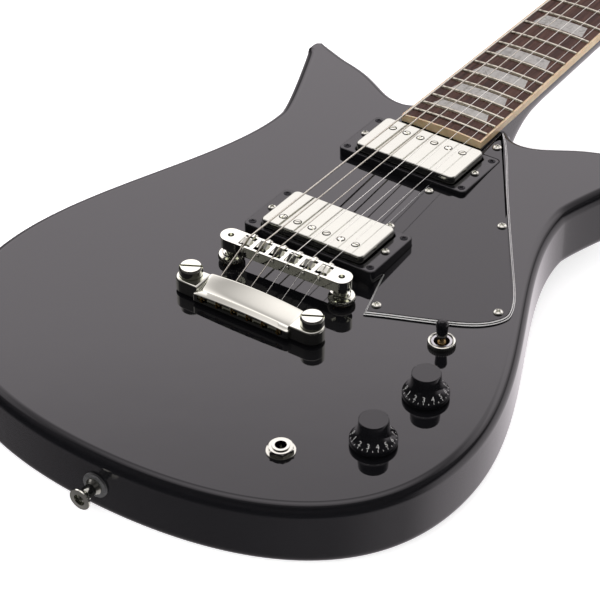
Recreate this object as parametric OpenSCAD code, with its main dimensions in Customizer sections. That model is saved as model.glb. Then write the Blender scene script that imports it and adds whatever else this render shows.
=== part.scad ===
// Solid-body electric guitar. Origin on the back face, under the end of the scale.
// X points to the treble side, Y to the headstock, Z out of the top.

/* [Scale and neck] */
// Nut to the end of the scale
scale_length = 628.65; // [610:0.05:648]
// Number of frets
fret_count = 22; // [21:1:22]
// Tilt of the neck back from the body's top, degrees
neck_angle = 2.4; // [1.5:0.1:3]
// Tilt of the headstock back from the neck, degrees
head_angle = 14; // [10:1:17]
// Width of the fingerboard at the nut
nut_width = 43; // [42:0.5:44]
// Width of the fingerboard at the last fret
heel_width = 57; // [56:0.5:58]
// Radius that the fingerboard is crowned to
board_radius = 305; // [250:5:400]
// Height of the fingerboard's plane over the body, at the end of the scale
board_rise = 16.1; // [15:0.1:18]

/* [Body] */
// Thickness of the body
body_t = 40; // [39:0.5:44]
// Radius that the body's edges are rounded to
edge_r = 7; // [5:0.5:8]
// Wood left over the control cavity
top_wood = 7; // [6:0.5:8]

/* [Hardware] */
// Distance between the bridge posts
post_gap = 74.6; // [73:0.1:75]
// Distance between the tailpiece studs
stud_gap = 82.6; // [82:0.1:84]
// String spacing at the bridge
bridge_pitch = 10.3; // [10:0.05:10.5]
// String spacing at the nut
nut_pitch = 7; // [6.8:0.05:7.1]
// Diameters of the strings, low to high
gauges = [1.17, 0.91, 0.66, 0.43, 0.33, 0.25];
// Length and width of a pickup cover
cover_size = [70, 38];
// Diameter of a control knob's skirt
knob_d = 26; // [24:0.5:27]
// Diameter of the plug that the output jack takes
plug_d = 6.35; // [6.3:0.05:6.35]

/* [Hidden] */
$fn = 48;
eps = 0.01;

// Frames. The neck frame has its origin on the fingerboard's plane at the end of the scale.
plane_z = body_t + board_rise;
nut_t = 4.8;
nut_crown = 2.1;
board_t = 5.8;
board_end = 166.8;
binding_t = 1.3;
head_t = 14.5;
module neck_frame() translate([0, 0, plane_z]) rotate([-neck_angle, 0, 0]) children();
module head_frame() neck_frame() translate([0, scale_length + nut_t, -board_t])
    rotate([-head_angle, 0, 0]) children();
function tip_down(p, a) = [p[0], p[1] * cos(a) + p[2] * sin(a), p[2] * cos(a) - p[1] * sin(a)];
function neck_point(p) = tip_down(p, neck_angle) + [0, 0, plane_z];
function head_point(p) = neck_point(tip_down(p, head_angle) + [0, scale_length + nut_t, -board_t]);
function fret_y(n) = scale_length / pow(2, n / 12);
function board_w(y) = heel_width
    + (nut_width - heel_width) * (y - fret_y(22)) / (scale_length - fret_y(22));
function crown_drop(x) = board_radius - sqrt(board_radius * board_radius - x * x);

// A smooth line through knots [x, y, heading, pull in, pull out], with more points on a longer stretch
function bezier(a, b, c, d, t) =
    pow(1 - t, 3) * a + 3 * t * pow(1 - t, 2) * b + 3 * t * t * (1 - t) * c + pow(t, 3) * d;
function spot(k) = [k[0], k[1]];
function pull(k, along) = spot(k) + along * [cos(k[2]), sin(k[2])];
function steps_for(a, b) = max(4, ceil(norm(b - a) / 17));
function smooth_line(knots) = [
    for (i = [0:len(knots) - 2])
        let (a = spot(knots[i]), b = spot(knots[i + 1]), steps = steps_for(a, b))
        for (s = [0:steps - 1])
            bezier(a, pull(knots[i], knots[i][4]), pull(knots[i + 1], -knots[i + 1][3]), b, s / steps),
    spot(knots[len(knots) - 1])
];
function mirrored(line) = [for (i = [len(line) - 1:-1:0]) [-line[i][0], line[i][1]]];

// Small helpers
module rounded_rect(w, h, r) {
    square([w - 2 * r, h], center = true);
    square([w, h - 2 * r], center = true);
    for (x = [-1, 1], y = [-1, 1]) translate([x * (w / 2 - r), y * (h / 2 - r)]) circle(r);
}
module capsule(a, b, r) {
    d = b - a;
    translate(a) circle(r);
    translate(b) circle(r);
    translate(a) rotate(atan2(d[1], d[0])) translate([0, -r]) square([norm(d), 2 * r]);
}
module rod(a, b, r) {
    d = b - a;
    translate(a) rotate([0, acos(d[2] / norm(d)), atan2(d[1], d[0])]) cylinder(h = norm(d), r = r);
}
module tube(r_out, r_in, h) difference() {
    cylinder(h = h, r = r_out);
    translate([0, 0, -1]) cylinder(h = h + 2, r = r_in);
}
module loft(rings) {
    n = len(rings[0]);
    last = len(rings) - 1;
    polyhedron([for (ring = rings) each ring], [
        [for (i = [0:n - 1]) i],
        for (s = [0:last - 1], i = [0:n - 1]) each [
            [s * n + i, (s + 1) * n + i, s * n + (i + 1) % n],
            [s * n + (i + 1) % n, (s + 1) * n + i, (s + 1) * n + (i + 1) % n]
        ],
        [for (i = [n - 1:-1:0]) last * n + i]
    ]);
}

// Body outline, treble half: tail, lower bout, waist, horn, neck joint
tail_y = -183.5;
joint_y = 199;
tenon_w = 38.6;
body_half = smooth_line([
    [0, tail_y, 0, 0, 70],
    [161.5, -66, 90, 97, 71],
    [103, 138.5, 90, 61, 12],
    [129, 211, 79, 2, 6],
    [124.5, 222.5, 165, 7, 4],
    [98.5, 214.3, 195, 8, 20],
    [60, 197, 210, 17, 4],
    [44, 191.8, 180, 6.5, 4],
    [34, 196, 130, 4, 2],
    [28, joint_y, 180, 2, 0]
]);
body_outline = concat(body_half, mirrored(body_half));

// Controls
volume_at = [119.5, -47.8];
tone_at = [116, -94.7];
selector_at = [104, -5.5];
jack_at = [79, -126.4];
cavity_top = body_t - top_wood;
cover_t = 2;
cavity_r = 17;
// The cavity follows the controls: round outside each bend, mitred inside
function heading(a, b) = atan2(b[1] - a[1], b[0] - a[0]);
function arc(c, r, from, to, steps) = [
    for (k = [0:steps]) let (a = from + (to - from) * k / steps) c + r * [cos(a), sin(a)]
];
function inside_bend(c, r, h1, h2) = let (m = (h1 + h2) / 2 - 90)
    c + r / cos((h1 - h2) / 2) * [cos(m), sin(m)];
leg_1 = heading(selector_at, volume_at);
leg_2 = heading(volume_at, tone_at);
leg_3 = heading(tone_at, jack_at);
module cavity_shape(r) polygon(concat(
    arc(selector_at, r, leg_1 + 270, leg_1 + 90, 16),
    arc(volume_at, r, leg_1 + 90, leg_2 + 90, 4),
    arc(tone_at, r, leg_2 + 90, leg_3 + 90, 5),
    arc(jack_at, r, leg_3 + 90, leg_3 - 90, 16),
    [inside_bend(tone_at, r, leg_2, leg_3), inside_bend(volume_at, r, leg_1, leg_2)]
));
cover_lip = 6;
cover_screws_at = [
    for (s = [[selector_at, 150], [selector_at, 45], [volume_at, 5], [tone_at, -25], [jack_at, -80],
        [jack_at, 165], [volume_at, 200]]) s[0] + (cavity_r + cover_lip / 2) * [cos(s[1]), sin(s[1])]
];

// Pickups: centre along Y, height of the cover's top over the body, height of its ring
neck_pickup = [140.9, 8.6, 3.7];
bridge_pickup = [38.7, 13.6, 8.9];
ring_size = [89.5, 45.5];
ring_screws = [81.5, 36.4];
string_tilt = 3;
pole_row = 9.3;
pole_pitch = 10;
cover_corner = 3.5;
cavity_depth = 22;
height_screw_x = 39.4;
module at_pickup(p) translate([0, p[0], body_t]) children();
module each_pickup() for (p = [neck_pickup, bridge_pickup]) at_pickup(p) children();

module body_holes() {
    for (p = [neck_pickup, bridge_pickup]) at_pickup(p) {
        translate([0, 0, -cavity_depth]) linear_extrude(cavity_depth + 1) rounded_rect(74, 41, 5);
        translate([0, 0, -cavity_depth]) linear_extrude(cavity_depth + 1) rounded_rect(86, 15, 1.5);
        for (x = [-1, 1], y = [-1, 1])
            translate([x * ring_screws[0] / 2, y * ring_screws[1] / 2, -12]) cylinder(h = 13, r = 1.1);
    }
    translate([0, 0, cover_t]) linear_extrude(cavity_top - cover_t) cavity_shape(cavity_r);
    translate([0, 0, -1]) linear_extrude(cover_t + 1 + eps) cavity_shape(cavity_r + cover_lip);
    for (p = [volume_at, tone_at]) translate([p[0], p[1], cavity_top - 1])
        cylinder(h = top_wood + 2, r = 4.8);
    translate([jack_at[0], jack_at[1], cavity_top - 1]) cylinder(h = top_wood + 2, r = 5);
    translate([selector_at[0], selector_at[1], cavity_top - 1]) cylinder(h = top_wood + 2, r = 6.2);
    // Wire runs: neck pickup to bridge pickup, and bridge pickup to the controls
    rod([20, 125, body_t - 15], [20, 55, body_t - 15], 4);
    rod([30, 40, body_t - 15], [98, 2, body_t - 15], 4);
    for (x = [-1, 1]) {
        translate(post_at(x) + [0, 0, body_t - bushing_l]) cylinder(h = bushing_l + 1, r = 5.5);
        translate([x * stud_gap / 2, stud_y, body_t - bushing_l]) cylinder(h = bushing_l + 1, r = 6.1);
    }
    translate([-tenon_w / 2 - 0.1, board_end + 0.1, 10]) cube([tenon_w + 0.2, 40, body_t]);
    for (p = guard_screws_at) translate([p[0], p[1], body_t - 11]) cylinder(h = 12, r = 1.3);
    for (p = cover_screws_at) translate([p[0], p[1], -1]) cylinder(h = 13, r = 1.3);
    translate([0, tail_y - 1, body_t / 2]) rotate([-90, 0, 0]) cylinder(h = 27, r = 1.8);
}
module body() color([0.03, 0.03, 0.035]) difference() {
    minkowski() {
        translate([0, 0, edge_r]) linear_extrude(body_t - 2 * edge_r)
            offset(delta = -edge_r) polygon(body_outline);
        rotate_extrude($fn = 24) polygon([
            [0, -edge_r],
            for (a = [-75:25:75]) edge_r * [cos(a), sin(a)],
            [0, edge_r]
        ]);
    }
    body_holes();
}

// Neck shaft and heel: [distance along the neck, depth under the fingerboard, squareness]
neck_stations = [
    [board_end + 0.3, 38, 0.45], [205, 38, 0.45], [212, 34, 0.5], [219, 28, 0.6], [227, 22.5, 0.7],
    [237, 19, 0.8], [252, 17.6, 0.85], [300, 17.2, 0.85], [400, 16.4, 0.85], [520, 15.4, 0.85],
    [605, 14.9, 0.85], [622, 15.6, 0.85], [scale_length + nut_t, 15.5, 0.8]
];
function neck_ring(s) = [
    for (a = [0:12:180]) let (w = board_w(min(s[0], scale_length)) / 2, c = cos(a))
        [w * sign(c) * pow(abs(c), s[2]), s[0], -board_t - 0.6 - (s[1] - 0.6) * pow(sin(a), s[2])],
    [-board_w(min(s[0], scale_length)) / 2, s[0], -board_t],
    [board_w(min(s[0], scale_length)) / 2, s[0], -board_t]
];
head_half = smooth_line([
    [nut_width / 2, -2, 90, 0, 8],
    [37, 30, 62, 14, 6],
    [41.5, 48, 90, 8, 40],
    [38.5, 150, 97, 30, 10],
    [26, 178, 150, 14, 8],
    [0, 184, 180, 12, 0]
]);
module neck() color([0.03, 0.03, 0.035]) difference() {
    union() {
        neck_frame() loft([for (s = neck_stations) neck_ring(s)]);
        translate([-tenon_w / 2, board_end + 0.3, 10.1]) cube([tenon_w, 36, body_t - 10.1 + 1]);
        head_frame() translate([0, 0, -head_t]) linear_extrude(head_t)
            polygon(concat(head_half, mirrored(head_half)));
    }
    difference() {
        translate([-40, 150, -10]) cube([80, joint_y + 0.1 - 150, body_t + 10.1]);
        translate([-tenon_w / 2, board_end + 0.3, 10.1]) cube([tenon_w, 60, body_t]);
    }
    // Rod channel under the fingerboard, and the pocket for the nut shelf
    neck_frame() translate([-3.1, 200, -board_t - 9.8]) cube([6.2, 460, 9.8 + 1]);
    neck_frame() translate([-30, scale_length - eps, -board_t]) cube([60, 60, 10]);
    head_frame() translate([-5, -2, -8]) cube([10, 26, 10]);
    for (i = [0:5]) head_frame() translate([tuner_at(i)[0], tuner_at(i)[1], -head_t - 1])
        cylinder(h = head_t + 2, r = 5);
    for (i = [0:5]) head_frame() translate(tuner_screw_at(i) + [0, 0, -head_t - 1])
        cylinder(h = 8, r = 0.9);
    for (p = truss_cover_screws_at) head_frame() translate([p[0], p[1], -7]) cylinder(h = 8, r = 0.9);
}

// Fingerboard with its binding, frets and inlays, all in the neck frame
module board_shape(inset) polygon([
    [-board_w(board_end) / 2 + inset, board_end + inset],
    [board_w(board_end) / 2 - inset, board_end + inset],
    [nut_width / 2 - inset, scale_length],
    [-nut_width / 2 + inset, scale_length]
]);
module crown_drum(r) translate([0, 700, -board_radius]) rotate([90, 0, 0])
    cylinder(h = 600, r = r, $fn = 720);
module crowned(lift) intersection() {
    translate([0, 0, -board_t]) linear_extrude(board_t + 3) children();
    crown_drum(board_radius + lift);
}
marker_frets = [3, 5, 7, 9, 12, 15, 17, 19, 21];
marker_depth = 1.5;
module marker_shape(n) {
    near = fret_y(n) + 0.16 * (fret_y(n - 1) - fret_y(n));
    far = fret_y(n) + 0.84 * (fret_y(n - 1) - fret_y(n));
    w = board_w(near) * 0.35;
    polygon([[-w * 0.86, far], [w * 0.86, far], [w, near], [-w, near]]);
}
module marker_blocks() for (n = marker_frets)
    translate([0, 0, -board_t + 3]) linear_extrude(board_t) marker_shape(n);
module fret_slots() for (n = [1:fret_count])
    translate([-board_w(fret_y(n)) / 2, fret_y(n) - 0.3, -3.8]) cube([board_w(fret_y(n)), 0.6, 6]);
module fingerboard() color([0.2, 0.1, 0.07]) neck_frame() difference() {
    crowned(0) board_shape(binding_t);
    fret_slots();
    difference() {
        marker_blocks();
        crown_drum(board_radius - marker_depth);
    }
}
module fingerboard_binding() color([0.86, 0.72, 0.5]) neck_frame() difference() {
    crowned(-0.02) board_shape(0);
    translate([0, 0, -20]) linear_extrude(40) difference() {
        board_shape(binding_t);
        translate([-40, board_end - 1]) square([80, 1 + binding_t]);
    }
    translate([0, 0, -20]) linear_extrude(40) translate([-40, scale_length - eps]) square([80, 1]);
    for (n = marker_frets, k = n == 12 ? [-1, 1] : [0])
        translate([-board_w(marker_y(n)) / 2 - 1, marker_y(n) + 2.5 * k, -3.6]) rotate([0, 90, 0])
            cylinder(h = 2, r = 1);
}
function marker_y(n) = (fret_y(n) + fret_y(n - 1)) / 2;
module position_markers() neck_frame() {
    color([0.85, 0.85, 0.82]) difference() {
        intersection() {
            marker_blocks();
            crown_drum(board_radius - 0.02);
        }
        crown_drum(board_radius - marker_depth + 0.02);
    }
    color([0.05, 0.05, 0.05]) for (n = marker_frets, k = n == 12 ? [-1, 1] : [0])
        translate([-board_w(marker_y(n)) / 2 + 0.02, marker_y(n) + 2.5 * k, -3.6])
            rotate([0, 90, 0]) cylinder(h = 0.9, r = 0.98);
}
module frets() color([0.8, 0.8, 0.8]) neck_frame() for (n = [1:fret_count]) {
    half = asin((board_w(fret_y(n)) / 2 - binding_t - 0.05) / board_radius);
    translate([0, fret_y(n), -board_radius]) rotate([90, 0, 0])
        rotate_extrude(angle = 2 * half, start = 90 - half, $fn = 720)
            translate([board_radius, 0]) polygon([
            [-2, -0.28], [0.02, -0.28], [0.02, -1.3], [0.55, -1.15], [0.92, -0.75], [fret_crown, -0.3],
            [fret_crown, 0.3], [0.92, 0.75], [0.55, 1.15], [0.02, 1.3], [0.02, 0.28], [-2, 0.28]
        ]);
}
module nut() color([0.93, 0.91, 0.85]) neck_frame() difference() {
    translate([-nut_width / 2, scale_length + 0.02, -board_t + 0.02])
        cube([nut_width, nut_t - 0.04, board_t + 2.6]);
    for (i = [0:5]) {
        r = gauges[i] / 2 + 0.08;
        translate([nut_x(i) - r, scale_length - 1, nut_z(i) - r]) cube([2 * r, nut_t + 2, 8]);
    }
    translate([0, 0, nut_crown]) difference() {
        translate([-40, scale_length - 5, -3]) cube([80, 20, 10]);
        crown_drum(board_radius);
    }
}
module truss_rod() color([0.6, 0.6, 0.62]) neck_frame() translate([0, 0, -board_t]) {
    for (z = [-2.3, -6.7]) rod([0, 206, z], [0, 627, z], 2);
    translate([-2.9, 201, -9]) cube([5.8, 8, 8.8]);
    translate([-2.9, 622, -9]) cube([5.8, 6, 8.8]);
    difference() {
        rod([0, 628, -6.7], [0, 645, -6.7], 2.9);
        translate([0, 640, -6.7]) rotate([-90, 0, 0]) cylinder(h = 6, r = 2.3, $fn = 6);
    }
}
truss_cover_screws_at = [[-9, 12], [9, 12], [0, 32]];
module truss_rod_cover() color([0.04, 0.04, 0.04]) head_frame() difference() {
    translate([0, 0, 0.02]) linear_extrude(1.8)
        polygon([[-13, 6.5], [13, 6.5], [11, 16], [4, 36], [-4, 36], [-11, 16]]);
    for (p = truss_cover_screws_at) translate([p[0], p[1], -1]) cylinder(h = 5, r = 1.2);
}

// Pickguard between the pickups and the treble edge
guard_t = 2.3;
guard_screws_at = [[35.9, 174.2], [79, 105], [117.6, 33.2], [57.1, 1.4], [24.6, 112.2], [23.8, 68.9]];
guard_outline = concat(
    smooth_line([[29.4, 193, -45, 0, 12], [58.7, 148, -60, 20, 20], [100.7, 80.2, -58, 20, 22],
        [124.4, 35.5, -82, 12, 5], [109.5, 15.7, 210, 12, 16], [54.4, -8, 206, 16, 0]]),
    [[44.6, 27], [20, 40], [20, 150], [29.4, 166]]
);
module ring_gap(p) translate([0, p[0]]) rounded_rect(ring_size[0] + 0.6, ring_size[1] + 0.6, 3.3);
module pickguard() color([0.04, 0.04, 0.04]) translate([0, 0, body_t + 0.02]) difference() {
    linear_extrude(guard_t) difference() {
        polygon(guard_outline);
        ring_gap(neck_pickup);
        ring_gap(bridge_pickup);
    }
    for (p = guard_screws_at) translate([p[0], p[1], -1]) cylinder(h = 5, r = 1.6);
}

// Screws. Each wood screw is a shank and a head; the cross is a recess.
module screw(r, length, head_r, head_h) {
    translate([0, 0, -length]) cylinder(h = length + eps, r = r);
    difference() {
        cylinder(h = head_h, r = head_r);
        for (a = [0, 90]) rotate(a) translate([-head_r * 0.6, -0.35, head_h - 0.6])
            cube([head_r * 1.2, 0.7, 1]);
    }
}
module nickel_screws() color([0.8, 0.79, 0.76]) {
    for (p = guard_screws_at) translate([p[0], p[1], body_t + guard_t + 0.04]) screw(1.25, 12, 2.9, 1.4);
    for (i = [0:5]) head_frame() translate(tuner_screw_at(i) + [0, 0, -head_t - 2.15])
        rotate([180, 0, 0]) screw(0.85, 8, 1.9, 1);
    translate([0, tail_y - 14.7 + 3, body_t / 2]) rotate([90, 0, 0]) screw(1.75, 32, 3.2, 2);
    for (p = [neck_pickup, bridge_pickup], x = [-1, 1])
        at_pickup(p) translate([x * height_screw_x, 0, p[2] + 0.17]) screw(1.45, p[2] + 15, 2.6, 1.5);
}
module black_screws() color([0.05, 0.05, 0.05]) {
    for (p = [neck_pickup, bridge_pickup], x = [-1, 1], y = [-1, 1]) at_pickup(p)
        let (dy = y * ring_screws[1] / 2)
            translate([x * ring_screws[0] / 2, dy, ring_z(p, dy) - 0.3])
                screw(1, ring_z(p, dy) + 9.5, 2.2, 0.8);
    for (p = truss_cover_screws_at) head_frame() translate([p[0], p[1], 1.9]) screw(0.85, 7, 1.8, 0.9);
    for (p = cover_screws_at) translate([p[0], p[1], 1]) rotate([180, 0, 0]) screw(1.25, 9, 2.6, 0.9);
}

// Pickup rings slope so that their tops follow the strings
function ring_z(p, y) = p[2] - y * tan(string_tilt);
module pickup_ring(p) color([0.04, 0.04, 0.04]) at_pickup(p) difference() {
    translate([0, 0, 0.02]) linear_extrude(p[2] + 2) difference() {
        rounded_rect(ring_size[0], ring_size[1], 3);
        rounded_rect(cover_size[0] + 1.4, cover_size[1] + 1.4, 4);
    }
    translate([0, 0, p[2]]) rotate([-string_tilt, 0, 0]) translate([-60, -40, 0]) cube([120, 80, 10]);
    for (x = [-1, 1], y = [-1, 1]) translate([x * ring_screws[0] / 2, y * ring_screws[1] / 2, 0]) {
        translate([0, 0, -1]) cylinder(h = 12, r = 1.3);
        translate([0, 0, ring_z(p, y * ring_screws[1] / 2) - 0.35]) cylinder(h = 5, r = 2.4);
    }
    for (x = [-1, 1]) translate([x * height_screw_x, 0, -1]) cylinder(h = 12, r = 1.7);
}
module neck_pickup_ring() pickup_ring(neck_pickup);
module bridge_pickup_ring() pickup_ring(bridge_pickup);

// Inside a pickup frame z is measured down from the cover's top
module in_cover(p) translate([0, p[0], body_t + p[1]]) rotate([-string_tilt, 0, 0]) children();
module each_cover() {
    in_cover(neck_pickup) children();
    in_cover(bridge_pickup) rotate(180) children();
}
module pole_places() for (i = [-2.5:2.5]) translate([i * pole_pitch, pole_row, 0]) children();
cover_h = 14;
cover_wall = 0.7;
module pickup_covers() color([0.82, 0.8, 0.76]) each_cover() difference() {
    translate([0, 0, -cover_h]) linear_extrude(cover_h)
        rounded_rect(cover_size[0], cover_size[1], cover_corner);
    translate([0, 0, -cover_h - 1]) linear_extrude(cover_h + 1 - cover_wall)
        rounded_rect(cover_size[0] - 2 * cover_wall, cover_size[1] - 2 * cover_wall,
            cover_corner - cover_wall);
    pole_places() translate([0, 0, -2]) cylinder(h = 4, r = 2.6);
}
module pickup_bobbins() color([0.15, 0.1, 0.08]) each_cover()
    for (s = [-1, 1]) translate([0, s * pole_row, 0]) difference() {
        union() {
            for (z = [-2.2, -11.8]) translate([0, 0, z]) linear_extrude(1.2) rounded_rect(66, 17.8, 4);
            translate([0, 0, -11]) linear_extrude(9.5) rounded_rect(62, 13, 4);
        }
        for (i = [-2.5:2.5]) translate([i * pole_pitch, 0, -13]) cylinder(h = 14, r = 1.6);
    }
module pickup_pole_screws() color([0.8, 0.79, 0.76]) each_cover() pole_places() difference() {
    union() {
        translate([0, 0, -0.6]) cylinder(h = 1, r = 2.4);
        translate([0, 0, -17]) cylinder(h = 17, r = 1.5);
    }
    rotate(35) translate([-3, -0.4, -0.1]) cube([6, 0.8, 1]);
}
module pickup_magnets() color([0.35, 0.35, 0.37]) each_cover()
    translate([-31.5, -pole_row + 2.2, -15.1]) cube([63, 2 * pole_row - 4.4, 3.1]);
tab_drop = 19;
plate_t = 1.2;
module pickup_baseplates() color([0.75, 0.72, 0.65]) each_cover() {
    difference() {
        translate([0, 0, -16.6]) linear_extrude(plate_t)
            rounded_rect(cover_size[0] - 1.6, cover_size[1] - 1.6, 2.6);
        pole_places() translate([0, 0, -18]) cylinder(h = 4, r = 1.6);
    }
    for (x = [-1, 1]) difference() {
        translate([x * 36.4 - 5.4, -6, -tab_drop - plate_t]) cube([10.8, 12, plate_t]);
        translate([x * height_screw_x, 0, -25]) cylinder(h = 10, r = 2.7);
    }
    for (x = [-1, 1]) translate([x * 31.6 - 0.6, -6, -tab_drop - 0.4]) cube([plate_t, 12, 3.2]);
}
module pickup_springs() color([0.7, 0.7, 0.7]) for (p = [neck_pickup, bridge_pickup], x = [-1, 1])
    at_pickup(p) translate([x * height_screw_x, 0, p[1] - tab_drop + 0.2])
        tube(2.6, 1.8, tab_drop - 0.3 - p[1]);

// Bridge: its line is turned a little, so the bass end lies further from the neck
bridge_y = -4.95;
bridge_turn = 1.46;
bridge_top = 17.8;
bridge_h = 7.1;
bridge_w = 12.4;
bushing_l = 18;
function turned(p, a) = [p[0] * cos(a) - p[1] * sin(a), p[0] * sin(a) + p[1] * cos(a), p[2]];
function post_at(side) = turned([side * post_gap / 2, 0, 0], bridge_turn) + [0, bridge_y, 0];
module bridge_frame() translate([0, bridge_y, body_t]) rotate(bridge_turn) children();
function saddle_x(i) = (i - 2.5) * bridge_pitch;
// Where each saddle stands in its pocket, low to high, and where on it the string bears
saddle_y = [-0.6, 0.9, 0.4, -1.2, 0.1, 0.3];
crest_y = 1.5;
saddle_l = 5;
saddle_w = 7.4;
crest_w = 5;
saddle_gap = 0.4;
pocket_w = 7.8;
saddle_floor = bridge_top - bridge_h + 1.6;
screw_z = 15;
screw_r = 0.8;
trough_l = 9.4;
module bridge_base() color([0.8, 0.79, 0.76]) bridge_frame() difference() {
    translate([0, 0, bridge_top - bridge_h]) linear_extrude(bridge_h) capsule(
        [-post_gap / 2, 0], [post_gap / 2, 0], bridge_w / 2);
    for (i = [0:5]) translate([saddle_x(i) - pocket_w / 2, -trough_l / 2, saddle_floor])
        cube([pocket_w, trough_l, 20]);
    for (x = [-1, 1]) translate([x * post_gap / 2, 0, 0]) {
        translate([0, 0, bridge_top - bridge_h - 1]) cylinder(h = bridge_h + 2, r = 1.9);
        translate([0, 0, bridge_top - bridge_h - 1]) cylinder(h = bridge_h - 1, r = 3.05);
    }
    for (i = [0:5]) {
        translate([saddle_x(i), -10, screw_z]) rotate([-90, 0, 0]) cylinder(h = 20, r = screw_r + 0.05);
        translate([saddle_x(i) - gauges[i] / 2 - 0.45, -bridge_w / 2 - 1, rim_dip(i)])
            cube([gauges[i] + 0.9, 3, 8]);
    }
}
// Floor of the notch that lets each string pass over the rim on its way down to the tailpiece
function rim_dip(i) = let (
    a = tail_out(i) + [0, 0, body_t],
    b = saddle_point(i),
    rim_y = bridge_y - bridge_w / 2 + saddle_x(i) * sin(bridge_turn)
) a[2] + (b[2] - a[2]) * (rim_y - a[1]) / (b[1] - a[1]) - gauges[i] / 2 - 0.15 - body_t;
// String height in the neck frame at the saddle and at the nut, following the crown
fret_crown = 1.05;
action_saddle = 3.9;
action_nut = fret_crown + 0.3;
function saddle_z(i) = action_saddle + gauges[i] / 2 - crown_drop(saddle_x(i));
function nut_x(i) = (i - 2.5) * nut_pitch;
function nut_z(i) = action_nut + gauges[i] / 2 - crown_drop(nut_x(i));
function saddle_point(i) = let (b = turned([saddle_x(i), saddle_y[i] + crest_y, 0], bridge_turn))
    neck_point([b[0], b[1] + bridge_y, saddle_z(i)]);
module profile_along_x(w, points) translate([-w / 2, 0, 0]) rotate([90, 0, 90])
    linear_extrude(w) polygon(points);
module saddle(i) color([0.85, 0.83, 0.8]) bridge_frame() translate([saddle_x(i), saddle_y[i], 0]) {
    floor_z = saddle_point(i)[2] - body_t - gauges[i] / 2 - saddle_gap;
    half = saddle_l / 2;
    difference() {
        union() {
            profile_along_x(saddle_w, [[-half, saddle_floor + 0.3], [half, saddle_floor + 0.3],
                [half, bridge_top - 0.1], [-half, bridge_top - 0.5]]);
            profile_along_x(crest_w, [[0.2 - half, bridge_top - 1], [half - 0.1, bridge_top - 1],
                [half - 0.1, floor_z - 0.4], [crest_y + 0.4, floor_z + 0.7],
                [crest_y - 0.3, floor_z + 0.7], [0.2 - half, bridge_top - 0.1]]);
        }
        translate([0, -10, screw_z]) rotate([-90, 0, 0]) cylinder(h = 20, r = screw_r + 0.08);
        profile_along_x(gauges[i] + 0.7, [[crest_y - 6, floor_z - 2], [crest_y, floor_z],
            [crest_y + 6, floor_z], [crest_y + 6, floor_z + 5], [crest_y - 6, floor_z + 5]]);
    }
}
module saddle_1() saddle(0);
module saddle_2() saddle(1);
module saddle_3() saddle(2);
module saddle_4() saddle(3);
module saddle_5() saddle(4);
module saddle_6() saddle(5);
module saddle_screws() color([0.8, 0.79, 0.76]) bridge_frame() for (i = [0:5])
    translate([saddle_x(i), bridge_w / 2, screw_z]) rotate([90, 0, 0]) difference() {
        union() {
            translate([0, 0, -1.7]) cylinder(h = 1.65, r = 2.7);
            translate([0, 0, -0.2]) cylinder(h = bridge_w + 0.6, r = screw_r);
            translate([0, 0, bridge_w + 0.05]) cylinder(h = 0.5, r1 = 1.1, r2 = 0.9);
        }
        rotate(30 * i) translate([-3, -0.35, -2.3]) cube([6, 0.7, 1.1]);
    }
wheel_top = 6.2;
wheel_low = 1.6;
wheel_r = 7.9;
module bridge_posts() color([0.8, 0.79, 0.76]) for (x = [-1, 1]) translate(post_at(x) + [0, 0, body_t]) {
    translate([0, 0, -14]) cylinder(h = 14 + wheel_top, r = 3.9);
    difference() {
        translate([0, 0, wheel_low]) cylinder(h = wheel_top - wheel_low, r = wheel_r);
        for (a = [0:15:345]) rotate(a) translate([wheel_r + 0.3, 0, 0])
            cylinder(h = 4.8, r = 0.7, $fn = 16);
    }
    cylinder(h = bridge_top - bridge_h - 0.05, r = 3.4);
    cylinder(h = bridge_top - 2.3, r = 2.95);
}

// Stop tailpiece, hooked on its studs by slots that open towards the bridge
stud_y = -40;
stud_top = 15.6;
tail_base = 1.2;
stud_r = 4;
stud_head_r = 6.9;
ear_top = 10;
bar_back_top = 8.5;
ear_r = 7.6;
bar_back = -51.6;
lip_y = -33;
lip_top = 12.2;
module tail_section() polygon([
    [bar_back + 1.2, tail_base], [lip_y - 1, tail_base], [lip_y, tail_base + 1.5], [lip_y, lip_top - 0.9],
    [lip_y - 0.5, lip_top - 0.1], [lip_y - 1.6, lip_top],
    for (a = [0:12:60]) [lip_y - 2.4 - 22 * sin(a) * 0.62, lip_top - 0.3 - 3.4 * sin(1.5 * a)],
    [bar_back + 1, bar_back_top], [bar_back, bar_back_top - 1], [bar_back, tail_base + 1.2]
]);
tail_arch = 250;
ball_w = 2.4;
ball_r = 1.75;
function tail_x(i) = (i - 2.5) * 10.35;
function ball_z(i) = 5.9 - pow(tail_x(i), 2) / 900;
function tail_in(i) = [tail_x(i), bar_back + 3.7, ball_z(i)];
function tail_out(i) = [tail_x(i), lip_y + 0.4, lip_top - 1.7 - pow(tail_x(i), 2) / (2 * tail_arch)];
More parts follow.
